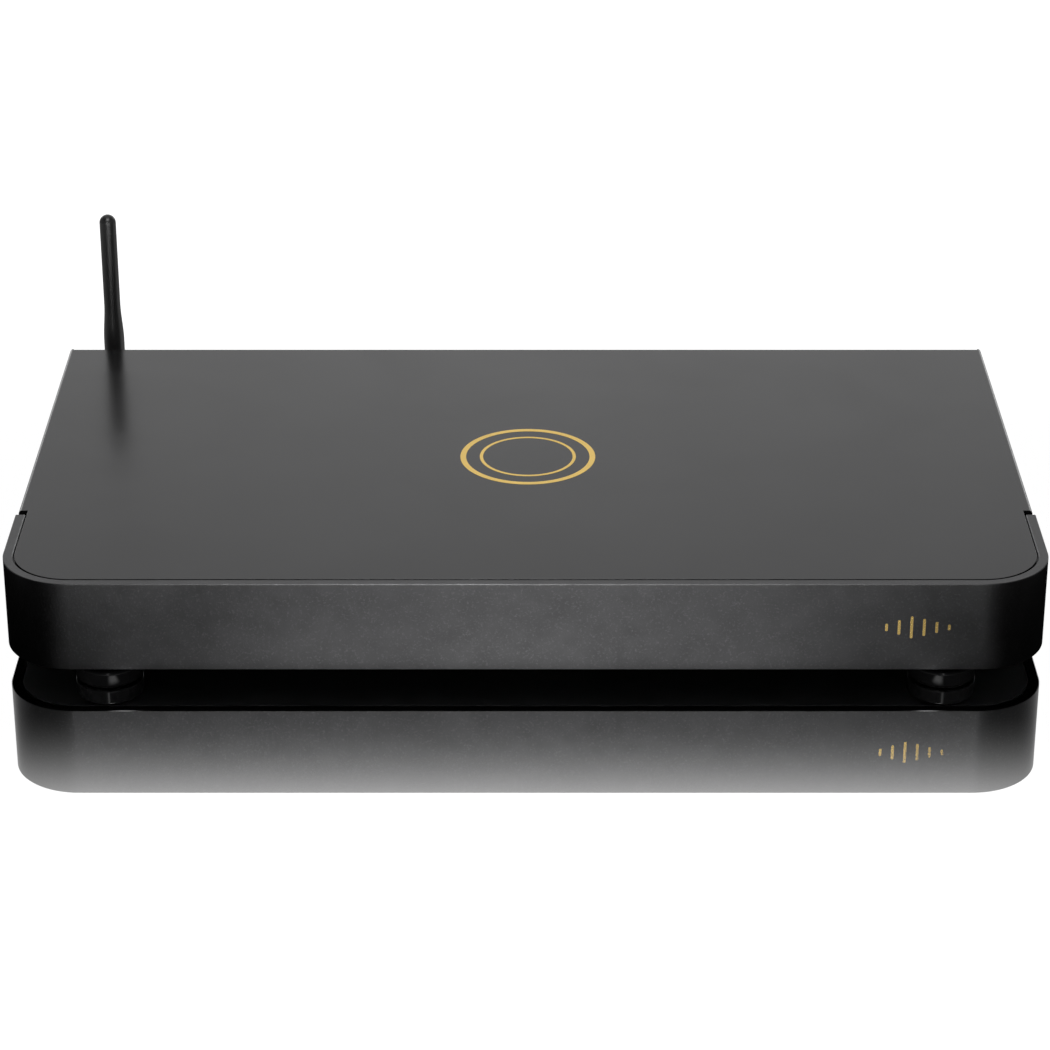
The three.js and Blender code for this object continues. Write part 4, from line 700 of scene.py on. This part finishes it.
# Stacked USB socket: a nickel-plated steel shell with a rolled lip round each port, and a white
# tongue in each that carries four gilt contacts on its underside.
usb_x, contact_pitch = -22.0, 2.25
port_width, port_height, port_floors = 12.6, 5.2, {"lower": 1.7, "upper": 8.6}
white_insert = finish("white insert moulding", (0.66, 0.65, 0.61), 0.42, grain=0.4, depth=0.008, drift=0.05)
shell = from_panel("usb_shell", rectangle(usb_x, socket_base + 7.75, 14.4, 15.5, 0.6), -16.7, 0.8)
ports = []
for floor in port_floors.values():
    z = socket_base + floor + port_height / 2
    ports.append(from_panel("port", rectangle(usb_x, z, port_width, port_height, 0.3), -12.2, 3))
dress(combine(shell, ports), pin_nickel, stands_for=["usb_socket"], edge=0.22, steps=3)
for name, floor in port_floors.items():
    top = socket_base + floor + 4.55
    bar = from_panel(f"usb_insert_{name}", rectangle(usb_x, top - 0.95, 11.2, 1.9), -11.9, -0.2)
    dress(bar, white_insert, stands_for=[f"usb_tongue_{name}"], edge=0.2)
    for number in range(4):
        x = usb_x + (number - 1.5) * contact_pitch
        strip = box_between(f"usb_contact_{name}_{number + 1}", (x - 0.5, PANEL - 9.5, top - 1.97),
                            (x + 0.5, PANEL - 1.0, top - 1.85))
        dress(strip, contact_gold, edge=0.04)


# Optical output: a moulded port with chamfered lower corners. Its shutter hangs on two pins at the
# top of the mouth, and a spring holds it shut until the plug pushes it in.
optical_x, port_low = 22.0, socket_base + 1.0
flap_back, flap_top = -5.5, socket_base + 8.9
shutter_pivot = (optical_x, PANEL + flap_back, flap_top)


def port_outline(width, low, high, chamfer=1.5):
    """The port's outline, which is square above and chamfered below."""
    x = width / 2
    points = [(-x, high), (-x, low + chamfer), (chamfer - x, low), (x - chamfer, low), (x, low + chamfer),
              (x, high)]
    return [(optical_x + a, b) for a, b in points]


port = from_panel("optical_moulding", rectangle(optical_x, socket_base + 5.4, 10.4, 10.8, 0.4), -18, 1)
bore = turned("bore", [(0, -9), (0.6, -9), (0.6, 9), (0, 9)], shutter_pivot, axis="x", sides=20)
combine(port, [from_panel("port", port_outline(8.6, port_low, port_low + 8.8), -14, 3), bore])
dress(port, moulding, stands_for=["optical_output"], edge=0.2)
flap = from_panel("sprung_shutter", port_outline(8.0, port_low + 0.3, flap_top), flap_back - 0.45,
                  flap_back + 0.45)
relief = from_panel("relief", port_outline(6.0, port_low + 1.5, flap_top - 1.6, 1.0), flap_back + 0.25,
                    flap_back + 2)
combine(flap, [relief])
barrels = []
for radius, reach in ((0.6, 4.0), (0.44, 4.6)):
    barrel = [(0, -reach), (radius, -reach), (radius, reach), (0, reach)]
    barrels.append(turned("hinge", barrel, shutter_pivot, axis="x", sides=28))
dress(combine(flap, barrels, "UNION"), moulding, body="shutter",
      stands_for=["optical_shutter"], edge=0.1)


# Phono sockets: turned from brass with three fine grooves near the mouth, and gold plated, round a
# moulded insulator: red for right, white for left and orange for the coaxial digital output.
plate_gold = finish("gold plate", (0.83, 0.56, 0.2), 0.18, metallic=1.0, grain=0.15, depth=0.001, drift=0.05)
CORES = {"phono_right": (94.0, "core_red", (0.42, 0.012, 0.012)),
         "phono_left": (74.0, "core_white", (0.7, 0.69, 0.66)),
         "coaxial_output": (44.0, "core_orange", (0.62, 0.15, 0.015))}
rim = 10.9
shell = [(3.3, -9), (3.9, -9), (3.9, 0.3), (5.5, 0.3), (5.8, 0.6), (5.8, 1.6), (5.5, 1.9), (4.35, 1.9),
         *arc(4.35, 2.1, 0.2, -90, -180, 3)]
for ring in range(3):
    start = 7.0 + ring * 0.9
    shell += [(4.15, start), (3.98, start + 0.15), (3.98, start + 0.35), (4.15, start + 0.5)]
shell += [(4.15, rim - 0.35), *arc(3.8, rim - 0.35, 0.35, 0, 90, 4), (3.45, rim), (3.3, rim - 0.15)]
core = [(0, -9), (3.0, -9), (3.0, rim - 0.75), *arc(2.75, rim - 0.75, 0.25, 0, 90, 4), (1.85, rim - 0.5),
        (1.7, rim - 0.8), (1.7, rim - 8.4), (0, rim - 8.4)]
sleeve = [(1.25, rim - 8.3), (1.65, rim - 8.3), (1.65, rim - 1.1), (1.5, rim - 0.95), (1.25, rim - 1.1)]
for name, (x, slot, colour) in CORES.items():
    core_finish = finish(f"insulator {name}", colour, 0.35, grain=0.4, depth=0.006, drift=0.06)
    centre = (x, PANEL, socket_z)
    dress(turned(f"gilt_{name}", shell, centre, axis="y", sides=72), plate_gold,
          stands_for=[f"{name}_shell"], sharp=30)
    dress(turned(f"insulator_{name}", core, centre, axis="y", sides=56), core_finish,
          stands_for=[f"{name}_core"])
    gilt = turned(f"gilt_contact_{name}", sleeve, centre, axis="y", sides=36)
    slots = [from_panel("slot", rectangle(x, socket_z, *size), rim - 4, rim)
             for size in ((4, 0.35), (0.35, 4))]
    dress(combine(gilt, slots), contact_gold)


# Antenna: a gold-plated threaded socket and hexagon nut, a knurled coupling nut, then a moulded
# knuckle that swivels in it. The whip tilts on a steel pin through the knuckle's tongue.
antenna_satin = finish("satin antenna moulding", (0.006, 0.006, 0.0063), 0.37, grain=0.25, depth=0.004,
                       smear=0.05, specular=1.0)
centre = (antenna_x, PANEL, antenna_z)
thread_turns, thread_pitch, ridges = 14, 0.7, 40
thread = [(0, -10.4), (1.75, -10.4), (1.75, -3.4), (4.75, -3.4), (4.75, -1.8), (3.1, -1.8)]
for turn in range(thread_turns):
    start = turn * thread_pitch - 1.6
    thread += [(2.95, start), (3.17, start + 0.22), (3.17, start + 0.4), (2.95, start + 0.6)]
thread += [(2.95, 8.2), (0, 8.2)]
dress(turned("threaded_socket", thread, centre, axis="y", sides=64), plate_gold,
      stands_for=["antenna_socket"])
nut = from_panel("hexagon_nut", polygon(antenna_x, antenna_z, 8.0), 0.3, 2.5)
crown = [(0, 0.3), (4.25, 0.3), (4.62, 0.7), (4.62, 2.1), (4.25, 2.5), (0, 2.5)]
combine(nut, [turned("crown", crown, centre, axis="y", sides=64)], "INTERSECT")
hole = [(0, -1), (3.47, -1), (3.47, 4), (0, 4)]
combine(nut, [turned("hole", hole, centre, axis="y", sides=48)])
dress(nut, plate_gold, stands_for=["antenna_socket_nut"], edge=0.06)
knurl = []
for ridge in range(ridges):
    for share, radius in ((0.0, 4.45), (0.3, 4.7), (0.6, 4.7), (0.9, 4.45)):
        angle = 2 * math.pi * (ridge + share) / ridges
        knurl.append((antenna_x + radius * math.cos(angle), antenna_z + radius * math.sin(angle)))
coupling = from_panel("knurled_coupling_nut", knurl, 2.8, 11.4)
rims = [(0, 2.8), (4.1, 2.8), (4.6, 3.3), (4.35, 3.7), (4.35, 4.2), (4.8, 4.5), (4.8, 10.2), (4.3, 10.5),
        (4.3, 10.8), (3.9, 11.4), (0, 11.4)]
combine(coupling, [turned("rims", rims, centre, axis="y", sides=96)], "INTERSECT")
inside = [(0, 0), (3.47, 0), (3.47, 9.8), (2.6, 9.8), (2.6, 13), (0, 13)]
combine(coupling, [turned("inside", inside, centre, axis="y", sides=48)])
dress(coupling, plate_gold, stands_for=["antenna_coupling_nut"])

pivot_reach, eye, tongue_foot = 21.8, 4.4, PANEL + 16.0
hinge = (antenna_x, PANEL + pivot_reach, antenna_z)
pivot_y = hinge[1]
stem = [(0, 8.5), (2.9, 8.5), (2.9, 9.5), (2.3, 9.5), (2.3, 11.7), (4.3, 11.7),
        *arc(4.3, 12.2, 0.5, -90, 0, 5), *arc(4.3, 16.2, 0.5, 0, 90, 5), (0, 16.7)]
knuckle = turned("swivel_knuckle", stem, centre, axis="y", sides=72)
tongue = [(tongue_foot, antenna_z - eye), (pivot_y, antenna_z - eye),
          *arc(pivot_y, antenna_z, eye, -88, 88, 30), (pivot_y, antenna_z + eye),
          (tongue_foot, antenna_z + eye)]
combine(knuckle, [prism("tongue", tongue, antenna_x - 2.1, antenna_x + 2.1, "x")], "UNION")
bore = [(0, -9), (1.15, -9), (1.15, 9), (0, 9)]
combine(knuckle, [turned("bore", bore, hinge, axis="x", sides=32)])
dress(knuckle, antenna_satin, body="knuckle", stands_for=["antenna_knuckle"], edge=0.15)

base, tip, whip_top, flare_low, flare_height, flare_steps = 4.8, 3.83, 84, 21, 18.5, 24
rod = [(0, -base), (base, -base), (base, 10)]
for i in range(flare_steps + 1):
    narrowed = (1 - math.cos(math.pi * i / flare_steps)) / 2
    rod.append((base + (tip - base) * narrowed, flare_low + flare_height * i / flare_steps))
rod += [*arc(0, whip_top - tip, tip, 0, 89.9, 18), (0, whip_top)]
whip = turned("antenna_rod", rod, hinge, sides=96)
rounded_end = [(pivot_y - 6, antenna_z + 90), (pivot_y - 6, antenna_z), (pivot_y - base, antenna_z),
               *arc(pivot_y, antenna_z, base, 182, 358, 44), (pivot_y + base, antenna_z),
               (pivot_y + 6, antenna_z), (pivot_y + 6, antenna_z + 90)]
combine(whip, [prism("end", rounded_end, antenna_x - 7, antenna_x + 7, "x")], "INTERSECT")
slot = box_between("slot", (antenna_x - 2.4, pivot_y - 7, antenna_z - 7),
                   (antenna_x + 2.4, pivot_y + 7, antenna_z + 4.7))
combine(whip, [slot, turned("bore", bore, hinge, axis="x", sides=32)])
dress(whip, antenna_satin, body="whip", stands_for=["antenna_whip"], edge=0.12)
pin = [(0, -4.5), (0.85, -4.5), (1.0, -4.35), (1.0, 4.35), (0.85, 4.5), (0, 4.5)]
pin = turned("steel_hinge_pin", pin, hinge, axis="x", sides=40)
slot = box_between("slot", (antenna_x + 4.0, pivot_y - 0.15, antenna_z - 2),
                   (antenna_x + 6, pivot_y + 0.15, antenna_z + 2))
dress(combine(pin, [slot]), zinc, body="whip", stands_for=["antenna_hinge_pin"])


# Front: a band of 4.2 mm aluminium bent round both corners, bead blasted, then anodised black. Its
# outer edges are cut back with a fine chamfer. The chamfer's lighter edge colour is partly bare metal
# and partly a painted highlight, and the cover rests on a ledge behind it.
# The lighter edge colour below is partly scuffed bare metal and partly a painted highlight along the
# chamfer.
blasted = finish("bead-blasted black anodising", (0.074, 0.074, 0.0757), 0.29, metallic=1.0, grain=0.9,
                 depth=0.05, drift=0.08, cloud=9.0, smear=0.07, scuff_and_glint=(0.26, 0.26, 0.265), scuff_and_glint_width=0.14,
                 fleck=0.45)
FRONT, CORNER, HALF_WIDTH = -137.15, 29.5, 215.0
CORNER_X, CORNER_Y = HALF_WIDTH - CORNER, FRONT + CORNER
arm = [(-HALF_WIDTH, FRONT + y, 1.0, 0.0) for y in (66.5, 66.0, 48.0, CORNER)]
for x, y in arc(0, 0, 1, 180, 270, 44)[1:]:
    arm.append((-CORNER_X + CORNER * x, CORNER_Y + CORNER * y, -x, -y))
straight = [(x, FRONT, 0.0, 1.0) for x in range(-160, 161, 40)]
stations = arm + straight + [(-x, y, -nx, ny) for x, y, nx, ny in reversed(arm)]
# Both outlines are (distance inwards, height). The second one rounds off the band's two ends.
band = [(0.3, 9.5), (0, 9.8), (0, 48.2), (0.3, 48.5), (3.8, 48.5), (4.2, 48.1), (4.2, 46.7), (6.2, 46.7),
        (6.2, 11.0), (4.2, 11.0), (4.2, 9.9), (3.8, 9.5)]
cut_back = [(0.9, 10.0), (0.5, 10.4), (0.5, 47.6), (0.9, 48.0), (3.4, 48.0), (3.7, 47.7), (3.7, 46.2),
            (5.7, 46.2), (5.7, 11.5), (3.7, 11.5), (3.7, 10.3), (3.4, 10.0)]
corners, faces = [], []
count, last = len(band), len(stations) - 1
for number, (x, y, nx, ny) in enumerate(stations):
    ring = cut_back if number in (0, last) else band
    corners += [(x + nx * inset, y + ny * inset, z) for inset, z in ring]
for number in range(last):
    here, there = number * count, (number + 1) * count
    faces += [(here + i, here + (i + 1) % count, there + (i + 1) % count, there + i) for i in range(count)]
faces += [tuple(range(count)), tuple(range(last * count, (last + 1) * count))]
dress(solid("bent_front", corners, faces), blasted, stands_for=["front_bezel"], sharp=20)


# Top cover: 1.5 mm aluminium sheet with rounded front corners, folded down at both sides and at
# the rear, sanded finer than the front and anodised black. It drops in flush behind the front.
cover_black = finish("satin black anodising", (0.0505, 0.0505, 0.0516), 0.2, metallic=0.92, grain=0.3,
                     depth=0.004, drift=0.05, cloud=60.0, smear=0.05, scuff_and_glint=(0.16, 0.16, 0.165), scuff_and_glint_width=0.3,
                     fleck=0.12)
SHEET, BEND, TOP, SIDE_X, NOTCH_X, COVER_CORNER = 1.5, 1.6, 48.5, 212.7, 210.25, 24.75
FOLD_Y, NOTCH_Y = FRONT + 247.9, FRONT + 70.1
plan = [(-SIDE_X, FOLD_Y), (-SIDE_X, NOTCH_Y), (-NOTCH_X, NOTCH_Y),
        *arc(-CORNER_X, CORNER_Y, COVER_CORNER, 180, 270, 36),
        *arc(CORNER_X, CORNER_Y, COVER_CORNER, 270, 360, 36),
        (NOTCH_X, NOTCH_Y), (SIDE_X, NOTCH_Y), (SIDE_X, FOLD_Y)]
count = len(plan)
corners = [(x, y, TOP) for x, y in plan] + [(x, y, TOP - SHEET) for x, y in plan]
faces = [tuple(range(count)), tuple(range(2 * count - 1, count - 1, -1))]
faces += [(i, i + 1, count + i + 1, count + i) for i in range(1, count - 2)]


def folded(profile, low, high, along):
    """Adds a folded strip that joins the sheet's edge: along says how the profile is placed."""
    start, number = len(corners), len(profile)
    for distance in (low, high):
        corners.extend(along(a, z, distance) for a, z in profile)
    faces.extend((start + i, start + i + 1, start + number + i + 1, start + number + i)
                 for i in range(number - 1))
    faces.extend([tuple(range(start, start + number)), tuple(range(start + number, start + 2 * number))])


def fold_profile(start, foot):
    """The sheet's bend, from where it starts down to the foot of the fold."""
    outer = arc(start, TOP - BEND, BEND, 90, 0, 10)
    inner = arc(start, TOP - BEND, BEND - SHEET, 0, 90, 6)
    return [*outer, (start + BEND, foot), (start + BEND - SHEET, foot), *inner]


for side in (-1, 1):
    folded(fold_profile(SIDE_X, 9.5), NOTCH_Y, FOLD_Y + 1.4, lambda a, z, y, side=side: (side * a, y, z))
folded(fold_profile(FOLD_Y, TOP - 3.5), -SIDE_X, SIDE_X, lambda a, z, x: (x, a, z))
dress(solid("folded_cover", corners, faces), cover_black, stands_for=["top_cover"], edge=0.18)


# Signs: plain gold foil marks, pressed on after anodising. Two plain rings stand on the cover and
# a short row of strokes, like a level meter's, stands at the right of the front.
foil = finish("gold foil", (0.86, 0.575, 0.125), 0.42, metallic=0.05, grain=0.3, depth=0.003, drift=0.05,
              cloud=12.0)
front_foil = finish("polished gold foil", (0.95, 0.68, 0.24), 0.2, metallic=1.0, grain=0.3, depth=0.003,
                    drift=0.05)
RINGS = {"outer": (29.5, 27.0), "inner": (21.0, 19.6)}
STROKES = (3.4, 6.6, 10.0, 7.8, 5.0, 2.6)
foil_low, foil_high = TOP - 0.02, TOP + 0.05
for name, (outer, inner) in RINGS.items():
    profile = [(inner, foil_low), (outer, foil_low), (outer, foil_high), (inner, foil_high)]
    dress(turned(f"gold_ring_{name}", profile, (1.0, FRONT + 126.0, 0), sides=160), foil)
for number, height in enumerate(STROKES):
    outline = rectangle(146.6 + number * 5.1, 29.0, 1.15, height, 0.5)
    dress(prism(f"gold_stroke_{number + 1}", outline, FRONT - 0.05, FRONT + 0.02, "y"), front_foil)


# Studio, in metres: a white table that takes a soft mirror image close to the case, one soft box
# above and in front of it, and white walls all round. Glossy surfaces see other walls and another
# table: dark beside the case, with a bright slit far in front, so the case's corners go dark.
def blended(tree, share, first, second):
    """The shader that lies between two shaders, by a share."""
    made = node(tree, "MixShader")
    for socket, value in zip(made.inputs, (share, first, second)):
        feed(tree, socket, value)
    return made.outputs[0]


def lit(tree, strength, colour=(1, 1, 1, 1)):
    """A surface that shines by itself."""
    return node(tree, "Emission", Color=colour, Strength=strength).outputs["Emission"]


def product(tree, first, *others):
    """Several values multiplied."""
    for value in others:
        first = maths(tree, "MULTIPLY", first, value)
    return first


def added(tree, first, second):
    """Two shaders, one on top of the other."""
    made = node(tree, "AddShader")
    feed(tree, made.inputs[0], first)
    feed(tree, made.inputs[1], second)
    return made.outputs[0]


half_width, middle_ahead, half_depth, foot_x = 0.215, 0.0124, 0.12475, 0.1665
paper_white, glow, mirror_near, mirror_far, mirror_fall = 0.82, 0.62, 0.010, 0.138, 2.6
table = bpy.data.objects.new("table", bpy.data.meshes.new("table"))
table.data.from_pydata([(-6, -6, 0), (6, -6, 0), (6, 8, 0), (-6, 8, 0)], [], [(0, 1, 2, 3)])
bpy.context.scene.collection.objects.link(table)
material = bpy.data.materials.new("white table")
material.use_nodes = True
tree = material.node_tree
tree.nodes.remove(tree.nodes["Principled BSDF"])
spot = node(tree, "SeparateXYZ", Vector=node(tree, "NewGeometry").outputs["Position"]).outputs
across, back = maths(tree, "ABSOLUTE", spot["X"]), spot["Y"]
beside = maths(tree, "MAXIMUM", maths(tree, "SUBTRACT", across, half_width), 0.0)
along = maths(tree, "ABSOLUTE", maths(tree, "ADD", back, middle_ahead))
ahead = maths(tree, "MAXIMUM", maths(tree, "SUBTRACT", along, half_depth), 0.0)
away = maths(tree, "SQRT", maths(tree, "ADD", product(tree, beside, beside), product(tree, ahead, ahead)))
fade = maths(tree, "POWER", ranged(tree, away, mirror_near, mirror_far), mirror_fall)
polish = maths(tree, "SUBTRACT", 1.0, fade)
diffuse = node(tree, "BsdfDiffuse", Color=(paper_white, paper_white, paper_white, 1)).outputs["BSDF"]
mirror = node(tree, "BsdfAnisotropic", Color=(1, 1, 1, 1), Roughness=0.0).outputs["BSDF"]

# What glossy surfaces see of the table: levels by the distance from the case's middle line,
# black close round the case as painted shade, a small bright card beside each foot, and a bright
# stretch far in front.
SIDE_LEVELS = ((0.0, 1.0), (0.13, 0.8), (0.26, 0.31), (0.33, 0.09), (0.37, 0.0), (0.52, 0.0), (0.68, 0.3),
               (1.0, 0.3))
side_reach, ground_behind = 0.6, (0.35, 0.35, 0.35, 1)
near_level, away_level, card_level, far_level = 1.56, 0.9, 14.0, 9.0
flags = node(tree, "ValToRGB")
tree.links.new(maths(tree, "DIVIDE", across, side_reach), flags.inputs[0])
ramp = flags.color_ramp
ramp.interpolation = "EASE"
for position, level in SIDE_LEVELS[1:-1]:
    ramp.elements.new(position)
for stop, (position, level) in zip(ramp.elements, SIDE_LEVELS):
    stop.position = position
    stop.color = (level, level, level, 1)
ground = tinted(tree, ranged(tree, back, 0.1, 0.16), flags.outputs[0], ground_behind)
card = ranged(tree, maths(tree, "ABSOLUTE", maths(tree, "SUBTRACT", across, foot_x)), 0.005, 0.002)
card = product(tree, card, ranged(tree, away, 0.013, 0.01, 0.0, card_level),
               ranged(tree, away, 0.002, 0.006))
# Within 14 mm of the case the table is black to glossy surfaces: painted shade where the case shades it.
level = product(tree, ranged(tree, away, 0.014, 0.021),
                ranged(tree, away, 0.021, 0.1, near_level, away_level))
far = product(tree, ranged(tree, back, -0.3, -0.65, 0.0, far_level), ranged(tree, across, 0.45, 0.15))
mirrored = added(tree, lit(tree, maths(tree, "ADD", level, card), ground), lit(tree, far))
seen = node(tree, "LightPath").outputs
shown = blended(tree, polish, added(tree, diffuse, lit(tree, glow)), mirror)
surface = blended(tree, seen["Is Glossy Ray"], diffuse, mirrored)
surface = blended(tree, seen["Is Camera Ray"], surface, shown)
tree.links.new(surface, tree.nodes["Material Output"].inputs["Surface"])
table.data.materials.append(material)


# Walls: plain white to the camera, a soft glow that lights the case, and for glossy surfaces a
# level by direction: in front a low patch, a slit and a faint haze, behind a wide pale wall.
def backdrop(tree, strength):
    """White walls of one level."""
    return node(tree, "Background", Color=(1, 1, 1, 1), Strength=strength).outputs[0]


patch_level, slit_level, haze_level, dark, rim_level = 1.4, 3.5, 0.3, 0.03, 2.0
world = bpy.data.worlds.new("white walls")
bpy.context.scene.world = world
world.use_nodes = True
tree = world.node_tree
tree.nodes.remove(tree.nodes["Background"])
seen = node(tree, "LightPath").outputs
way = node(tree, "SeparateXYZ", Vector=node(tree, "TexCoord").outputs["Generated"]).outputs
sideways, rearwards, rising = maths(tree, "ABSOLUTE", way["X"]), way["Y"], way["Z"]
patch = product(tree, maths(tree, "POWER", ranged(tree, sideways, 0.4, 0.0), 2.5),
                ranged(tree, rising, 0.35, 0.1, 0.0, patch_level))
slit = product(tree, ranged(tree, sideways, 0.045, 0.025, 0.0, slit_level),
               ranged(tree, rising, 0.25, 0.35))
haze = product(tree, ranged(tree, rising, 0.1, 0.3, 0.0, haze_level), ranged(tree, rising, 0.42, 0.34))
haze = maths(tree, "ADD", haze, dark)
front_wall = maths(tree, "ADD", patch, maths(tree, "ADD", slit, haze))
sides = product(tree, ranged(tree, sideways, 0.0, 0.6, 1.05, 0.55),
                ranged(tree, sideways, 0.5, 0.85, 1.0, 0.4))
rim = product(tree, ranged(tree, sideways, 0.2, 0.4), ranged(tree, sideways, 0.6, 0.45),
              ranged(tree, rising, 0.3, 0.12, 0.0, rim_level))
rear_wall = maths(tree, "MULTIPLY_ADD", sides, ranged(tree, rising, 0.36, 0.6, 1.0, 0.45), rim)
walls = ranged(tree, rearwards, -0.1, 0.3, front_wall, rear_wall)
surface = blended(tree, seen["Is Glossy Ray"], backdrop(tree, glow), backdrop(tree, walls))
plain = maths(tree, "MAXIMUM", seen["Is Camera Ray"], seen["Is Transmission Ray"])
plain = maths(tree, "MAXIMUM", plain, seen["Is Singular Ray"])
surface = blended(tree, plain, surface, backdrop(tree, 1.0))
tree.links.new(surface, tree.nodes["World Output"].inputs["Surface"])


# Soft box and camera: the box hangs above and in front of the case and points down at the table
# before it, and the camera stands where the photograph's did.
softbox = bpy.data.lights.new("softbox", "AREA")
softbox.shape = "RECTANGLE"
softbox.size, softbox.size_y = 0.3, 0.5
softbox.energy = 5.7
softbox = bpy.data.objects.new("softbox", softbox)
softbox.location = (0, -0.55, 1.35)
softbox.rotation_euler = (math.radians(-20), 0, 0)
bpy.context.scene.collection.objects.link(softbox)

camera = bpy.data.cameras.new("camera")
camera.lens, camera.sensor_width = 115.14, 36.0
camera = bpy.data.objects.new("camera", camera)
camera.location = (-0.00024, -1.35155, 0.6514)
camera.rotation_euler = (math.radians(64.61), 0, 0)
bpy.context.scene.collection.objects.link(camera)
bpy.context.scene.camera = camera
bpy.context.scene.view_settings.view_transform = "Standard"
